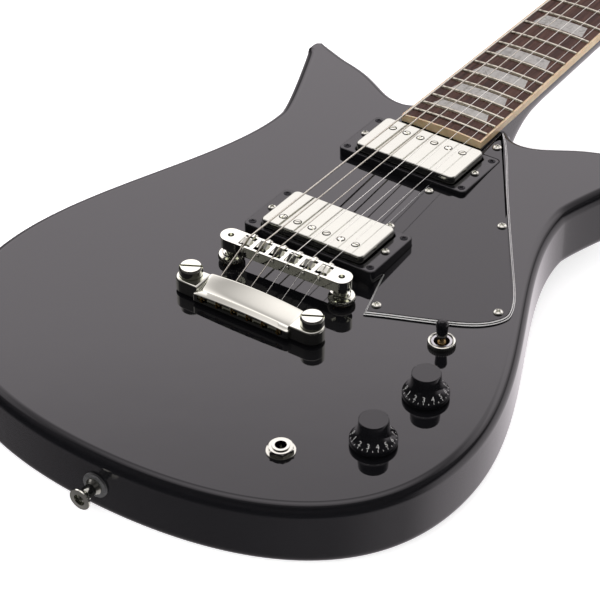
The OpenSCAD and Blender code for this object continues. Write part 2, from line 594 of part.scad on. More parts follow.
module tailpiece() color([0.83, 0.81, 0.77]) translate([0, 0, body_t]) difference() {
    union() {
        intersection() {
            translate([-32.5, 0, 0]) rotate([90, 0, 90]) linear_extrude(65) tail_section();
            translate([0, 0, lip_top - tail_arch]) rotate([90, 0, 0])
                cylinder(h = 80, r = tail_arch, $fn = 720);
        }
        translate([0, 0, tail_base]) linear_extrude(ear_top - tail_base) for (x = [-1, 1])
            capsule([x * 31, stud_y - 1.5], [x * (stud_gap / 2 + 0.4), stud_y - 1.5], ear_r);
    }
    for (x = [-1, 1]) translate([0, 0, -1]) linear_extrude(20)
        capsule([x * stud_gap / 2, stud_y], [x * stud_gap / 2, stud_y + 15], stud_r + 0.15);
    for (i = [0:5]) {
        translate([tail_x(i), bar_back - 1, ball_z(i)]) rotate([-90, 0, 0]) cylinder(h = 6.5, r = 2.15);
        rod(tail_in(i), tail_out(i) + 0.2 * (tail_out(i) - tail_in(i)), 1);
    }
    translate([-29, bar_back - 1, 4.2]) cube([58, 3.2, 2.8]);
}
module tailpiece_studs() color([0.83, 0.81, 0.77]) for (x = [-1, 1])
    translate([x * stud_gap / 2, stud_y, body_t]) difference() {
        union() {
            translate([0, 0, -14]) cylinder(h = 14, r = 3.95);
            cylinder(h = tail_base - 0.05, r = 6.4);
            cylinder(h = stud_top - 1, r = stud_r);
            translate([0, 0, ear_top + 0.05])
                cylinder(h = stud_top - 1 - ear_top - 0.05, r = stud_head_r);
            translate([0, 0, stud_top - 1]) cylinder(h = 1, r1 = stud_head_r, r2 = stud_head_r - 0.8);
        }
        rotate(28) translate([-8, -0.8, stud_top - 2]) cube([16, 1.6, 3]);
    }
module stud_bushings() color([0.75, 0.7, 0.6]) for (x = [-1, 1]) {
    translate(post_at(x) + [0, 0, body_t - bushing_l]) difference() {
        cylinder(h = bushing_l, r = 5.45);
        translate([0, 0, 3]) cylinder(h = bushing_l, r = 3.95);
    }
    translate([x * stud_gap / 2, stud_y, body_t - bushing_l]) difference() {
        cylinder(h = bushing_l, r = 6.05);
        translate([0, 0, 3]) cylinder(h = bushing_l, r = 4);
    }
}

// Strings: from the ball through the tailpiece, over saddle and nut, and round the tuner post
wrap_r = 3.05;
wrap_z = 6.2;
wrap_steps = 14;
string_sides = 10;
function unit(v) = v / norm(v);
// Angle that the string swings out by on its way to the post
function head_swing(i) = let (inner = abs(tuner_at(i)[0]) - wrap_r - gauges[i] / 2)
    atan((inner - abs(nut_x(i))) / tuner_at(i)[1]);
function wrap_point(i, k) = let (
    r = wrap_r + gauges[i] / 2,
    turn = head_swing(i) + 360 * k / wrap_steps,
    a = side_of(i) < 0 ? turn : 180 - turn
) head_point([
    tuner_at(i)[0] + r * cos(a),
    tuner_at(i)[1] + r * sin(a),
    wrap_z + (gauges[i] + 0.05) * (2 - k / wrap_steps)
]);
function string_points(i) = [
    tail_in(i) + [0, 0, body_t],
    tail_out(i) + [0, 0, body_t],
    saddle_point(i),
    neck_point([nut_x(i), scale_length + 1, nut_z(i)]),
    neck_point([nut_x(i), scale_length + nut_t + 0.3, nut_z(i)]),
    for (k = [0:wrap_steps * 1.5]) wrap_point(i, k)
];
head_normal = head_point([0, 0, 1]) - head_point([0, 0, 0]);
function string_ring(p, k, r) = let (
    along = unit(p[min(k + 1, len(p) - 1)] - p[max(k - 1, 0)]),
    u = unit(cross(along, head_normal)),
    v = cross(along, u)
) [for (a = [0:360 / string_sides:359]) p[k] + r * (cos(a) * u + sin(a) * v)];
module strings() color([0.75, 0.74, 0.72]) for (i = [0:5]) {
    p = string_points(i);
    loft([for (k = [0:len(p) - 1]) string_ring(p, k, gauges[i] / 2)]);
    translate([tail_x(i), bar_back + 2.3, body_t + ball_z(i)]) rotate([0, 90, 0])
        rotate_extrude() polygon([
            [0.6, -ball_w / 2], [ball_r, -ball_w / 2], [ball_r, -0.8], [1.25, -0.6],
            [1.25, 0.6], [ball_r, 0.8], [ball_r, ball_w / 2], [0.6, ball_w / 2]
        ]);
}

// Controls
module knob(p) color([0.03, 0.03, 0.03]) translate([p[0], p[1], body_t + 1]) difference() {
    rotate_extrude() polygon([
        [0, 0], [knob_d / 2 - 0.6, 0], [knob_d / 2, 0.8], [knob_d / 2, 2.4], [knob_d / 2 - 1, 3.4],
        [knob_d / 2 - 3.2, 6], [knob_d / 2 - 4.2, 8.4], [8.3, 12], [8.1, 15], [7.7, 15.5], [0, 15.5]
    ]);
    translate([0, 0, -1]) cylinder(h = 6.5, r = 8);
    translate([0, 0, -1]) cylinder(h = 14, r = pot_shaft_r + 0.02);
}
module volume_knob() knob(volume_at);
module tone_knob() knob(tone_at);
pot_shaft_r = 3;
module pot_shaft(p) color([0.8, 0.75, 0.6]) translate([p[0], p[1], cavity_top - 6])
    cylinder(h = 25.8, r = pot_shaft_r);
module volume_shaft() pot_shaft(volume_at);
module tone_shaft() pot_shaft(tone_at);
module pot_housings() color([0.6, 0.6, 0.6]) for (p = [volume_at, tone_at])
    translate([p[0], p[1], 0]) difference() {
        union() {
            translate([0, 0, cavity_top - 10]) cylinder(h = 9.8, r = 12);
            translate([0, 0, cavity_top - 2]) cylinder(h = top_wood + 6.5, r = 4.7);
            for (k = [-1:1]) translate([-16.4, 4.5 * k - 1, cavity_top - 9]) cube([8, 2, 1]);
        }
        translate([0, 0, cavity_top - 9]) cylinder(h = 30, r = pot_shaft_r + 0.07);
        translate([0, 0, cavity_top - 9]) cylinder(h = 7, r = 10.5);
    }
module hex_nut(af, hole_r, h) difference() {
    cylinder(h = h, r = af / 2 / cos(30), $fn = 6);
    translate([0, 0, -1]) cylinder(h = h + 2, r = hole_r);
}
selector_ring_r = 8;
module panel_nuts() color([0.8, 0.79, 0.76]) translate([0, 0, body_t + 0.02]) {
    for (p = [volume_at, tone_at]) translate([p[0], p[1], 0]) {
        tube(7.4, 4.75, 0.6);
        translate([0, 0, 0.65]) hex_nut(12, 4.75, 2.2);
    }
    translate([jack_at[0], jack_at[1], 0]) {
        tube(8.1, 4.8, 0.8);
        translate([0, 0, 0.85]) rotate(12) hex_nut(13, 4.8, 2.6);
    }
    translate([selector_at[0], selector_at[1], 0]) difference() {
        cylinder(h = 3.6, r = selector_ring_r);
        translate([0, 0, -1]) cylinder(h = 6, r = 5.9);
        translate([0, 0, 2.2]) cylinder(h = 3, r1 = 5.9, r2 = 6.9);
        for (a = [0:15:345]) rotate(a) translate([selector_ring_r + 0.3, 0, -1])
            cylinder(h = 6, r = 0.7, $fn = 16);
    }
    translate([0, 0, -body_t - 0.02]) for (i = [0:5])
        head_frame() translate([tuner_at(i)[0], tuner_at(i)[1], 0.02]) {
            hex_nut(12, 4.1, 2.6);
            translate([0, 0, -head_t + 3]) tube(4.9, 3.08, head_t - 3);
        }
}
lever_pivot_z = body_t + 1;
lever_r = 1.5;
module selector_housing() color([0.7, 0.68, 0.6]) translate([selector_at[0], selector_at[1], 0]) {
    difference() {
        union() {
            translate([-8, -15, cavity_top - 24]) cube([16, 30, 23.8]);
            translate([0, 0, cavity_top - 2]) cylinder(h = top_wood + 4.4, r = 5.85);
        }
        translate([-7, -14, cavity_top - 23]) cube([14, 28, 21.6]);
        translate([0, 0, cavity_top - 3]) cylinder(h = 5.5, r = 4.2);
        translate([0, 0, cavity_top + 2]) cylinder(h = 20, r1 = 4.2, r2 = 5.2);
    }
    for (x = [-5.5, 5.5]) translate([x - 0.3, -3, cavity_top - 22.5]) cube([0.6, 6, 12]);
}
module selector_lever() color([0.8, 0.72, 0.55]) translate([selector_at[0], selector_at[1], 0]) {
    translate([0, 0, cavity_top - 9]) cylinder(h = body_t + 14 - cavity_top + 9, r = lever_r);
    translate([0, 0, lever_pivot_z]) sphere(r = 2.6);
}
tip_r = 3.6;
module selector_tip() color([0.03, 0.03, 0.03])
    translate([selector_at[0], selector_at[1], body_t + 5.5]) difference() {
        rotate_extrude() polygon([
            [0, 0], [2.7, 0], [3, 0.5], [tip_r, 7.8],
            for (a = [0:15:90]) [tip_r * cos(a), 7.8 + tip_r * sin(a)]
        ]);
        translate([0, 0, -1]) cylinder(h = 9.6, r = lever_r + 0.02);
    }
module output_jack() color([0.78, 0.76, 0.7]) translate([jack_at[0], jack_at[1], 0]) difference() {
    union() {
        translate([0, 0, cavity_top - 1.8]) cylinder(h = top_wood + 6, r = 4.7);
        translate([-8, -8, cavity_top - 1.8]) cube([16, 16, 1.6]);
        translate([6, -3, cavity_top - 24]) cube([0.8, 6, 23]);
        translate([-6.8, -3, cavity_top - 20]) cube([0.8, 6, 19]);
    }
    translate([0, 0, cavity_top - 3]) cylinder(h = 20, r = plug_d / 2 + 0.05);
}
module wiring_harness() {
    color([0.15, 0.15, 0.15]) {
        rod([18.4, 122, body_t - 15], [18.4, 57, body_t - 15], 1.4);
        rod([31, 39.4, body_t - 15], [94, 4.2, body_t - 15], 1.4);
    }
    color([0.7, 0.2, 0.1]) translate([105, -70, 12]) rotate([0, 90, 60]) cylinder(h = 16, r = 3.5);
    color([0.8, 0.8, 0.8]) {
        rod([110.5, -60, 12], [116, -63, 22], 0.4);
        rod([113.3, -66, 26], [109, -76, 26], 0.7);
        rod([96, -103, 26], [84, -116, 26], 0.7);
        rod([105, -36, 26], [101, -22, 24], 0.7);
    }
}
module control_cover() color([0.03, 0.03, 0.03]) difference() {
    linear_extrude(cover_t - 0.05) cavity_shape(cavity_r + cover_lip - 0.3);
    for (p = cover_screws_at) translate([p[0], p[1], 0]) {
        translate([0, 0, -1]) cylinder(h = 5, r = 1.5);
        translate([0, 0, -1]) cylinder(h = 2.05, r = 2.8);
    }
}

// Strap button at the tail
waist_r = 3.6;
module strap_button() difference() {
    rotate_extrude() polygon([
        [0, 0], [4.9, 0], [5, 1], [4.2, 2.2], [waist_r, 3], [waist_r, 8.5], [4.4, 9.8], [6, 11.2],
        [6.5, 12], [6.4, 12.8], [0, 13.2]
    ]);
    translate([0, 0, -1]) cylinder(h = 20, r = 1.9);
    translate([0, 0, 10.2]) cylinder(h = 5, r = 3.4);
}
felt_t = 1.4;
module strap_place() translate([0, tail_y, body_t / 2]) rotate([90, 0, 0]) children();
module strap_button_end() color([0.8, 0.8, 0.8]) strap_place()
    translate([0, 0, felt_t + 0.07]) strap_button();
module strap_felt() color([0.05, 0.05, 0.05]) strap_place() translate([0, 0, 0.05]) tube(7.6, 2, felt_t);

// Tuners, three a side, numbered from the low string
function side_of(i) = i < 3 ? -1 : 1;
function tuner_at(i) = let (k = i < 3 ? i : 5 - i) [side_of(i) * (26.5 + 1.2 * k), 44 + 38 * k];
function tuner_screw_at(i) = [tuner_at(i)[0] - side_of(i) * 3, tuner_at(i)[1] - 9.5, 0];
worm_y = 7.8;
housing_top = -head_t - 0.05;
worm_z = -6.5;
module at_tuner(i) head_frame() translate([tuner_at(i)[0], tuner_at(i)[1], 0])
    mirror([side_of(i) < 0 ? 1 : 0, 0, 0]) children();
module tuner_housings() color([0.8, 0.79, 0.76]) for (i = [0:5])
    at_tuner(i) translate([0, 0, housing_top]) difference() {
        union() {
            translate([-8, -6.6, -12]) cube([16, 18.6, 12]);
            translate([-6.5, -12.4, -2]) cube([7, 6, 2]);
            translate([7, worm_y, worm_z]) rotate([0, 90, 0]) cylinder(h = 5, r = 3.6);
        }
        translate([-6.7, -5.4, -10.7]) cube([13.4, 16, 9.3]);
        translate([0, 0, -2]) cylinder(h = 3, r = 3.08);
        translate([6, worm_y, worm_z]) rotate([0, 90, 0]) cylinder(h = 8, r = 2.08);
        translate([-3, -9.5, -3]) cylinder(h = 4, r = 1);
    }
module tuner_post(i) color([0.8, 0.79, 0.76]) at_tuner(i) difference() {
    union() {
        translate([0, 0, housing_top - 9]) cylinder(h = 9 - housing_top + 5.5, r = 3);
        translate([0, 0, 5]) cylinder(h = 8, r = 2.7);
        translate([0, 0, 12.4]) cylinder(h = 4.4, r = 3);
        translate([0, 0, housing_top - 8.6]) cylinder(h = 4.2, r = 5);
    }
    translate([-5, 0, 10.8]) rotate([0, 90, 0]) cylinder(h = 10, r = 0.8);
}
module tuner_button(i) color([0.8, 0.79, 0.76]) at_tuner(i) translate([0, worm_y, housing_top + worm_z]) {
    rotate([0, 90, 0]) translate([0, 0, -5.5]) cylinder(h = 24, r = 2);
    rotate([0, 90, 0]) translate([0, 0, -4.5]) cylinder(h = 9, r = 2.35);
    rotate([0, 90, 0]) translate([0, 0, 12.4]) cylinder(h = 3.4, r1 = 3.2, r2 = 2.4);
    hull() for (y = [-5, 5], s = [0, 1]) translate([19.2 + 6.3 * s, y * (1 - 0.25 * s), 0])
        sphere(r = 3.6, $fn = 24);
}
module tuner_post_1() tuner_post(0);
module tuner_post_2() tuner_post(1);
module tuner_post_3() tuner_post(2);
module tuner_post_4() tuner_post(3);
module tuner_post_5() tuner_post(4);
module tuner_post_6() tuner_post(5);
module tuner_button_1() tuner_button(0);
module tuner_button_2() tuner_button(1);
module tuner_button_3() tuner_button(2);
module tuner_button_4() tuner_button(3);
module tuner_button_5() tuner_button(4);
module tuner_button_6() tuner_button(5);

body();
neck();
fingerboard();
fingerboard_binding();
frets();
position_markers();
nut();
truss_rod();
truss_rod_cover();
pickguard();
nickel_screws();
black_screws();
neck_pickup_ring();
bridge_pickup_ring();
pickup_covers();
pickup_bobbins();
pickup_pole_screws();
pickup_magnets();
pickup_baseplates();
pickup_springs();
bridge_base();
saddle_1();
saddle_2();
saddle_3();
saddle_4();
saddle_5();
saddle_6();
saddle_screws();
bridge_posts();
tailpiece();
tailpiece_studs();
stud_bushings();
volume_knob();
tone_knob();
volume_shaft();
tone_shaft();
pot_housings();
panel_nuts();
selector_housing();
selector_lever();
selector_tip();
output_jack();
wiring_harness();
control_cover();
strap_button_end();
strap_felt();
strings();
tuner_housings();
tuner_post_1();
tuner_post_2();
tuner_post_3();
tuner_post_4();
tuner_post_5();
tuner_post_6();
tuner_button_1();
tuner_button_2();
tuner_button_3();
tuner_button_4();
tuner_button_5();
tuner_button_6();
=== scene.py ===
import math

import bmesh
import bpy
from mathutils import Matrix, Vector


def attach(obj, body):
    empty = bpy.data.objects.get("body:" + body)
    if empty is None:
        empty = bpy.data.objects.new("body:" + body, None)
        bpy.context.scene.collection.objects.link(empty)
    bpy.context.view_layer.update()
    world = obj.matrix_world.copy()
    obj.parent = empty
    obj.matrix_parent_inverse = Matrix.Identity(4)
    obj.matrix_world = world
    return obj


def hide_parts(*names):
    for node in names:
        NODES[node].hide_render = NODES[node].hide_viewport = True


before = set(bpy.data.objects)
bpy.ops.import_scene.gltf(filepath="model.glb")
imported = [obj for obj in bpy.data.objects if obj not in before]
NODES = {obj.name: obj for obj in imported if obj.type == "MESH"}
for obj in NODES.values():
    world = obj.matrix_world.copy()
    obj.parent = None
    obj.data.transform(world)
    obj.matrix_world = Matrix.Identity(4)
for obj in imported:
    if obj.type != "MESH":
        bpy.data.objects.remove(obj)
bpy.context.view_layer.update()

MM = 0.001
TAU = 2 * math.pi

# ---------------------------------------------------------------- camera
CAMERA_AT = (0.57135, -0.83195, 0.82064)
CAMERA_RIGHT = (0.830574, 0.556854, -0.007780)
CAMERA_DOWN = (0.340465, -0.518776, -0.784190)
LENS_MM = 133.38

cam_data = bpy.data.cameras.new("photo_camera")
cam_data.sensor_width = 36
cam_data.lens = LENS_MM
cam_data.clip_start = 0.01
camera = bpy.data.objects.new("photo_camera", cam_data)
right = Vector(CAMERA_RIGHT).normalized()
up = -Vector(CAMERA_DOWN).normalized()
back = right.cross(up)
camera.matrix_world = Matrix.Translation(CAMERA_AT) @ Matrix((right, up, back)).transposed().to_4x4()
bpy.context.scene.collection.objects.link(camera)
bpy.context.scene.camera = camera

# ---------------------------------------------------------------- part's own sizes, in metres
BODY_T = 0.040
EDGE_R = 0.007
SCALE = 0.62865
NUT_T = 0.0048
BOARD_T = 0.0058
HEAD_T = 0.0145
RISE = 0.0161
NECK_TILT = Matrix.Translation((0, 0, BODY_T + RISE)) @ Matrix.Rotation(math.radians(-2.4), 4, "X")
HEAD_TILT = (NECK_TILT @ Matrix.Translation((0, SCALE + NUT_T, -BOARD_T))
             @ Matrix.Rotation(math.radians(-14), 4, "X"))
VOLUME_AT = (0.1195, -0.0478)
TONE_AT = (0.116, -0.0947)
SELECTOR_AT = (0.104, -0.0055)
JACK_AT = (0.079, -0.1264)
NECK_PICKUP = (0.1409, 0.0086, 0.0037)
BRIDGE_PICKUP = (0.0387, 0.0136, 0.0089)
RING_SIZE = (0.0895, 0.0455)
RING_SCREWS = (0.0815, 0.0364)
COVER_SIZE = (0.070, 0.038)
COVER_H = 0.014
STRING_TILT = math.radians(3)
POLE_ROW = 0.0093
POLE_PITCH = 0.010
HEIGHT_SCREW_X = 0.0394
STUD_X = 0.0413
STUD_Y = -0.040
GUARD_T = 0.0023
GUARD_SCREWS = [(35.9, 174.2), (79, 105), (117.6, 33.2), (57.1, 1.4), (24.6, 112.2), (23.8, 68.9)]


def board_w(y):
    """Width of the fingerboard at y along the neck."""
    near = SCALE / 2 ** (22 / 12)
    return 0.057 - 0.014 * (y - near) / (SCALE - near)


def side_of(i):
    return -1 if i < 3 else 1


def tuner_at(i):
    k = i if i < 3 else 5 - i
    return (side_of(i) * (0.0265 + 0.0012 * k), 0.044 + 0.038 * k)


# ---------------------------------------------------------------- node materials
class Shader:
    """One node material: a Principled surface with procedural colour, roughness and bump."""

    def __init__(self, name, color, rough, metal=0.0, ior=1.5):
        self.mat = bpy.data.materials.new(name)
        self.mat.use_nodes = True
        self.tree = self.mat.node_tree
        self.bsdf = self.tree.nodes["Principled BSDF"]
        self.set("Base Color", (*color, 1))
        self.set("Roughness", rough)
        self.set("Metallic", metal)
        self.set("IOR", ior)
        self.coords = self.node("ShaderNodeTexCoord").outputs["Object"]

    def node(self, kind, **values):
        n = self.tree.nodes.new(kind)
        for key, value in values.items():
            setattr(n, key, value)
        return n

    def set(self, socket, value):
        self.bsdf.inputs[socket].default_value = value
        return self

    def link(self, a, b):
        self.tree.links.new(a, b)

    def stretched(self, size):
        """Object coordinates divided by a feature size along each axis, in metres."""
        m = self.node("ShaderNodeMapping")
        m.inputs["Scale"].default_value = [1 / s for s in size]
        self.link(self.coords, m.inputs["Vector"])
        return m.outputs["Vector"]

    def noise(self, size, detail=3.0, rough=0.5, distort=0.0):
        n = self.node("ShaderNodeTexNoise")
        n.inputs["Scale"].default_value = 1
        n.inputs["Detail"].default_value = detail
        n.inputs["Roughness"].default_value = rough
        n.inputs["Distortion"].default_value = distort
        self.link(self.stretched(size), n.inputs["Vector"])
        return n.outputs["Fac"]

    def ramp(self, fac, stops):
        r = self.node("ShaderNodeValToRGB")
        while len(r.color_ramp.elements) < len(stops):
            r.color_ramp.elements.new(0.5)
        for e, (at, color) in zip(r.color_ramp.elements, stops):
            e.position = at
            e.color = (*color, 1) if isinstance(color, tuple) else (color, color, color, 1)
        self.link(fac, r.inputs["Fac"])
        return r.outputs["Color"]

    def color(self, fac, stops):
        self.link(self.ramp(fac, stops), self.bsdf.inputs["Base Color"])
        return self

    def roughness(self, fac, low, high):
        m = self.node("ShaderNodeMapRange")
        m.inputs["To Min"].default_value = low
        m.inputs["To Max"].default_value = high
        self.link(fac, m.inputs["Value"])
        self.link(m.outputs["Result"], self.bsdf.inputs["Roughness"])
        return self

    def bump(self, fac, height, strength=1.0):
        """height is the relief in metres."""
        b = self.node("ShaderNodeBump")
        b.inputs["Strength"].default_value = strength
        b.inputs["Distance"].default_value = height
        self.link(fac, b.inputs["Height"])
        last = self.bsdf.inputs["Normal"]
        if last.links:
            self.link(last.links[0].from_socket, b.inputs["Normal"])
        self.link(b.outputs["Normal"], last)
        return self


def cube(s):
    return (s * MM, s * MM, s * MM)


def lacquer(name, color=(0.006, 0.006, 0.007)):
    s = Shader(name, color, 0.03, ior=1.6)
    s.roughness(s.noise(cube(40), 4), 0.015, 0.05)
    s.bump(s.noise(cube(2.2), 2), 0.000003)
    s.bump(s.noise(cube(25), 1), 0.00003)
    return s.mat


def plated(name, color=(0.74, 0.755, 0.665), low=0.03, high=0.06):
    s = Shader(name, color, low, 1.0)
    fac = s.noise(cube(9), 4, 0.6)
    s.color(fac, [(0.3, tuple(c * 0.975 for c in color)), (0.7, color)])
    s.roughness(s.noise((1.5 * MM, 9 * MM, 9 * MM), 4, 0.65), low, high)
    s.bump(s.noise(cube(4), 3), 0.000004)
    return s.mat


def plastic(name, color, low=0.12, high=0.25, relief=0.000004):
    s = Shader(name, color, low)
    s.roughness(s.noise(cube(5), 5, 0.6), low, high)
    s.bump(s.noise(cube(0.8), 3), relief)
    return s.mat


def rosewood():
    s = Shader("rosewood_grain", (0.06, 0.03, 0.02), 0.35)
    bands = s.noise((3.2 * MM, 90 * MM, 6 * MM), 6, 0.62, 0.6)
    s.color(bands, [(0.30, (0.022, 0.008, 0.005)), (0.48, (0.062, 0.024, 0.015)),
                    (0.60, (0.100, 0.042, 0.026)), (0.75, (0.040, 0.016, 0.010))])
    pores = s.noise((0.28 * MM, 5.5 * MM, 0.6 * MM), 2, 0.5)
    s.roughness(pores, 0.70, 0.45)
    s.set("Specular IOR Level", 0.3)
    s.bump(s.ramp(pores, [(0.32, 0.0), (0.44, 1.0)]), 0.00008)
    s.bump(bands, 0.00004)
    return s.mat


def wound(name, pitch):
    """A string with a fine winding along Y."""
    s = Shader(name, (0.80, 0.74, 0.64), 0.15, 1.0)
    w = s.node("ShaderNodeTexWave", bands_direction="Y")
    w.inputs["Scale"].default_value = 1 / pitch / TAU * 2
    w.inputs["Distortion"].default_value = 0
    s.link(s.coords, w.inputs["Vector"])
    s.bump(w.outputs["Fac"], pitch * 0.08)
    s.color(s.noise(cube(3), 2), [(0.3, (0.74, 0.71, 0.60)), (0.7, (0.86, 0.84, 0.74))])
    return s.mat


def pearl():
    s = Shader("pearl", (0.62, 0.61, 0.57), 0.12)
    swirl = s.noise((7 * MM, 9 * MM, 7 * MM), 5, 0.55, 2.2)
    s.color(swirl, [(0.28, (0.24, 0.235, 0.215)), (0.44, (0.33, 0.325, 0.295)), (0.55, (0.40, 0.39, 0.355)),
                    (0.68, (0.27, 0.265, 0.24))])
    s.roughness(swirl, 0.08, 0.2)
    return s


def felt():
    s = Shader("felt", (0.012, 0.012, 0.013), 0.95)
    fibres = s.noise(cube(0.35), 6, 0.8)
    s.color(fibres, [(0.3, (0.006, 0.006, 0.007)), (0.75, (0.035, 0.035, 0.037))])
    s.bump(fibres, 0.0003)
    s.set("Sheen Weight", 0.4)
    return s.mat


def bobbin():
    s = Shader("bobbin", (0.02, 0.016, 0.014), 0.5)
    w = s.node("ShaderNodeTexWave", bands_direction="Z")
    w.inputs["Scale"].default_value = 1200
    s.link(s.coords, w.inputs["Vector"])
    s.bump(w.outputs["Fac"], 0.00005)
    s.color(s.noise(cube(2), 3), [(0.3, (0.012, 0.010, 0.009)), (0.7, (0.05, 0.025, 0.015))])
    return s.mat


def satin_metal(name, color, low=0.25, high=0.42):
    s = Shader(name, color, low, 1.0)
    s.roughness(s.noise((0.4 * MM, 6 * MM, 6 * MM), 4, 0.7), low, high)
    s.bump(s.noise(cube(0.7), 3), 0.00001)
    return s.mat


M = {
    "lacquer": lacquer("black_lacquer"),
    "guard": plastic("guard_black", (0.006, 0.006, 0.007), 0.03, 0.07, 0.000001),
    "ply": plastic("guard_white_ply", (0.80, 0.80, 0.78), 0.2, 0.35),
    "nickel": plated("nickel"),
    "cover": plated("cover_nickel", (0.53, 0.545, 0.485), 0.10, 0.15),
    "screw": plated("screw_nickel", (0.70, 0.71, 0.63), 0.06, 0.12),
    "black_screw": satin_metal("screw_black", (0.035, 0.035, 0.038), 0.3, 0.45),
    "ring": plastic("ring_black", (0.008, 0.008, 0.009), 0.10, 0.22),
    "knob": plastic("knob_black", (0.006, 0.006, 0.007), 0.06, 0.12, 0.000002),
    "tip": plastic("tip_black", (0.006, 0.006, 0.007), 0.10, 0.2),
    "numeral": plastic("numeral_ink", (0.62, 0.62, 0.60), 0.4, 0.5),
    "rosewood": rosewood(),
    "fret": plated("fret_wire", (0.60, 0.575, 0.47), 0.22, 0.34),
    "wound": wound("string_wound", 0.00032),
    "plain": plated("string_plain", (0.84, 0.85, 0.78), 0.10, 0.16),
    "felt": felt(),
    "bobbin": bobbin(),
    "steel": satin_metal("zinc_steel", (0.50, 0.50, 0.51)),
    "magnet": satin_metal("magnet_bar", (0.16, 0.16, 0.17), 0.5, 0.7),
    "silver": satin_metal("nickel_silver", (0.62, 0.58, 0.48), 0.2, 0.35),
    "spring": satin_metal("spring_wire", (0.52, 0.52, 0.53), 0.2, 0.35),
    "brass": satin_metal("brass", (0.72, 0.52, 0.25), 0.2, 0.35),
    "wire": plastic("wire_cloth", (0.03, 0.03, 0.03), 0.5, 0.8, 0.00003),
}
bone = Shader("bone", (0.80, 0.75, 0.64), 0.35)
bone.color(bone.noise((1.5 * MM, 9 * MM, 5 * MM), 5), [(0.3, (0.70, 0.63, 0.50)), (0.7, (0.83, 0.79, 0.70))])
bone.bump(bone.noise(cube(0.6), 3), 0.00001)
M["bone"] = bone.mat
binding = Shader("binding_cream", (0.72, 0.55, 0.34), 0.22)
binding.color(binding.noise(cube(8), 4), [(0.3, (0.60, 0.43, 0.24)), (0.7, (0.76, 0.59, 0.37))])
binding.roughness(binding.noise(cube(3), 4), 0.16, 0.32)
binding.set("Subsurface Weight", 0.15)
binding.set("Subsurface Scale", 0.002)
M["binding"] = binding.mat
M["pearl"] = pearl().mat

# ---------------------------------------------------------------- mesh helpers


def add(name, verts, faces, material, body="guitar", nodes=(), slot=None, smooth=True, matrix=None):
    me = bpy.data.meshes.new(name)
    me.from_pydata([tuple(v) for v in verts], [], [tuple(f) for f in faces])
    if matrix is not None:
        me.transform(matrix)
    me.validate()
    bm = bmesh.new()
    bm.from_mesh(me)
    bmesh.ops.recalc_face_normals(bm, faces=bm.faces)
    bm.to_mesh(me)
    bm.free()
    me.polygons.foreach_set("use_smooth", [smooth] * len(me.polygons))
    ob = bpy.data.objects.new(name, me)
    for m in material if isinstance(material, (list, tuple)) else [material]:
        me.materials.append(m)
    bpy.context.scene.collection.objects.link(ob)
    if body:
        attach(ob, body)
    if nodes:
        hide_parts(*nodes)
    return ob


def smooth_by_angle(ob, degrees=35):
    """Sharp edges above an angle, smooth below it."""
    me = ob.data
    bm = bmesh.new()
    bm.from_mesh(me)
    limit = math.radians(degrees)
    for e in bm.edges:
        e.smooth = len(e.link_faces) != 2 or e.calc_face_angle(0) < limit
    for f in bm.faces:
        f.smooth = True
    bm.to_mesh(me)
    bm.free()


def bevelled(ob, width, segments=3, angle=30):
    b = ob.modifiers.new("edge_round", "BEVEL")
    b.width = width
    b.segments = segments
    b.limit_method = "ANGLE"
    b.angle_limit = math.radians(angle)
    b.harden_normals = False
    b.miter_outer = "MITER_ARC"
    w = ob.modifiers.new("even_normals", "WEIGHTED_NORMAL")
    w.keep_sharp = True
    return ob


def rings_mesh(rings, cap_low=True, cap_high=True):
    """Vertices and faces of a stack of rings with the same number of points."""
    n = len(rings[0])
    verts = [p for ring in rings for p in ring]
    faces = [
        (k * n + i, k * n + (i + 1) % n, (k + 1) * n + (i + 1) % n, (k + 1) * n + i)
        for k in range(len(rings) - 1) for i in range(n)
    ]
    if cap_low:
        faces.append(tuple(range(n))[::-1])
    if cap_high:
        faces.append(tuple((len(rings) - 1) * n + i for i in range(n)))
    return verts, faces


def revolved(profile, segments=64):
    """A solid of revolution about Z. A profile point with radius 0 closes it."""
    verts, faces, rows = [], [], []
    for r, z in profile:
        if r <= 1e-9:
            rows.append([len(verts)])
            verts.append((0, 0, z))
        else:
            rows.append(list(range(len(verts), len(verts) + segments)))
            verts += [(r * math.cos(TAU * k / segments), r * math.sin(TAU * k / segments), z)
                      for k in range(segments)]
    for a, b in zip(rows, rows[1:]):
        for k in range(segments):
            j = (k + 1) % segments
            if len(a) == 1 and len(b) > 1:
                faces.append((a[0], b[j], b[k]))
            elif len(b) == 1 and len(a) > 1:
                faces.append((a[k], a[j], b[0]))
            elif len(a) > 1:
                faces.append((a[k], a[j], b[j], b[k]))
    return verts, faces


def merged(parts):
    """One vertex and face list from several, each already in place."""
    verts, faces = [], []
    for v, f in parts:
        base = len(verts)
        verts += [tuple(p) for p in v]
        faces += [tuple(base + i for i in face) for face in f]
    return verts, faces


def moved(part, matrix):
    v, f = part
    return [matrix @ Vector(p) for p in v], f


def at(x, y, z=0.0):
    return Matrix.Translation((x, y, z))


def turn(degrees, axis):
    return Matrix.Rotation(math.radians(degrees), 4, axis)


def box(low, high):
    x0, y0, z0 = low
    x1, y1, z1 = high
    v = [(x0, y0, z0), (x1, y0, z0), (x1, y1, z0), (x0, y1, z0),
         (x0, y0, z1), (x1, y0, z1), (x1, y1, z1), (x0, y1, z1)]
    f = [(3, 2, 1, 0), (4, 5, 6, 7), (0, 1, 5, 4), (1, 2, 6, 5), (2, 3, 7, 6), (3, 0, 4, 7)]
    return v, f


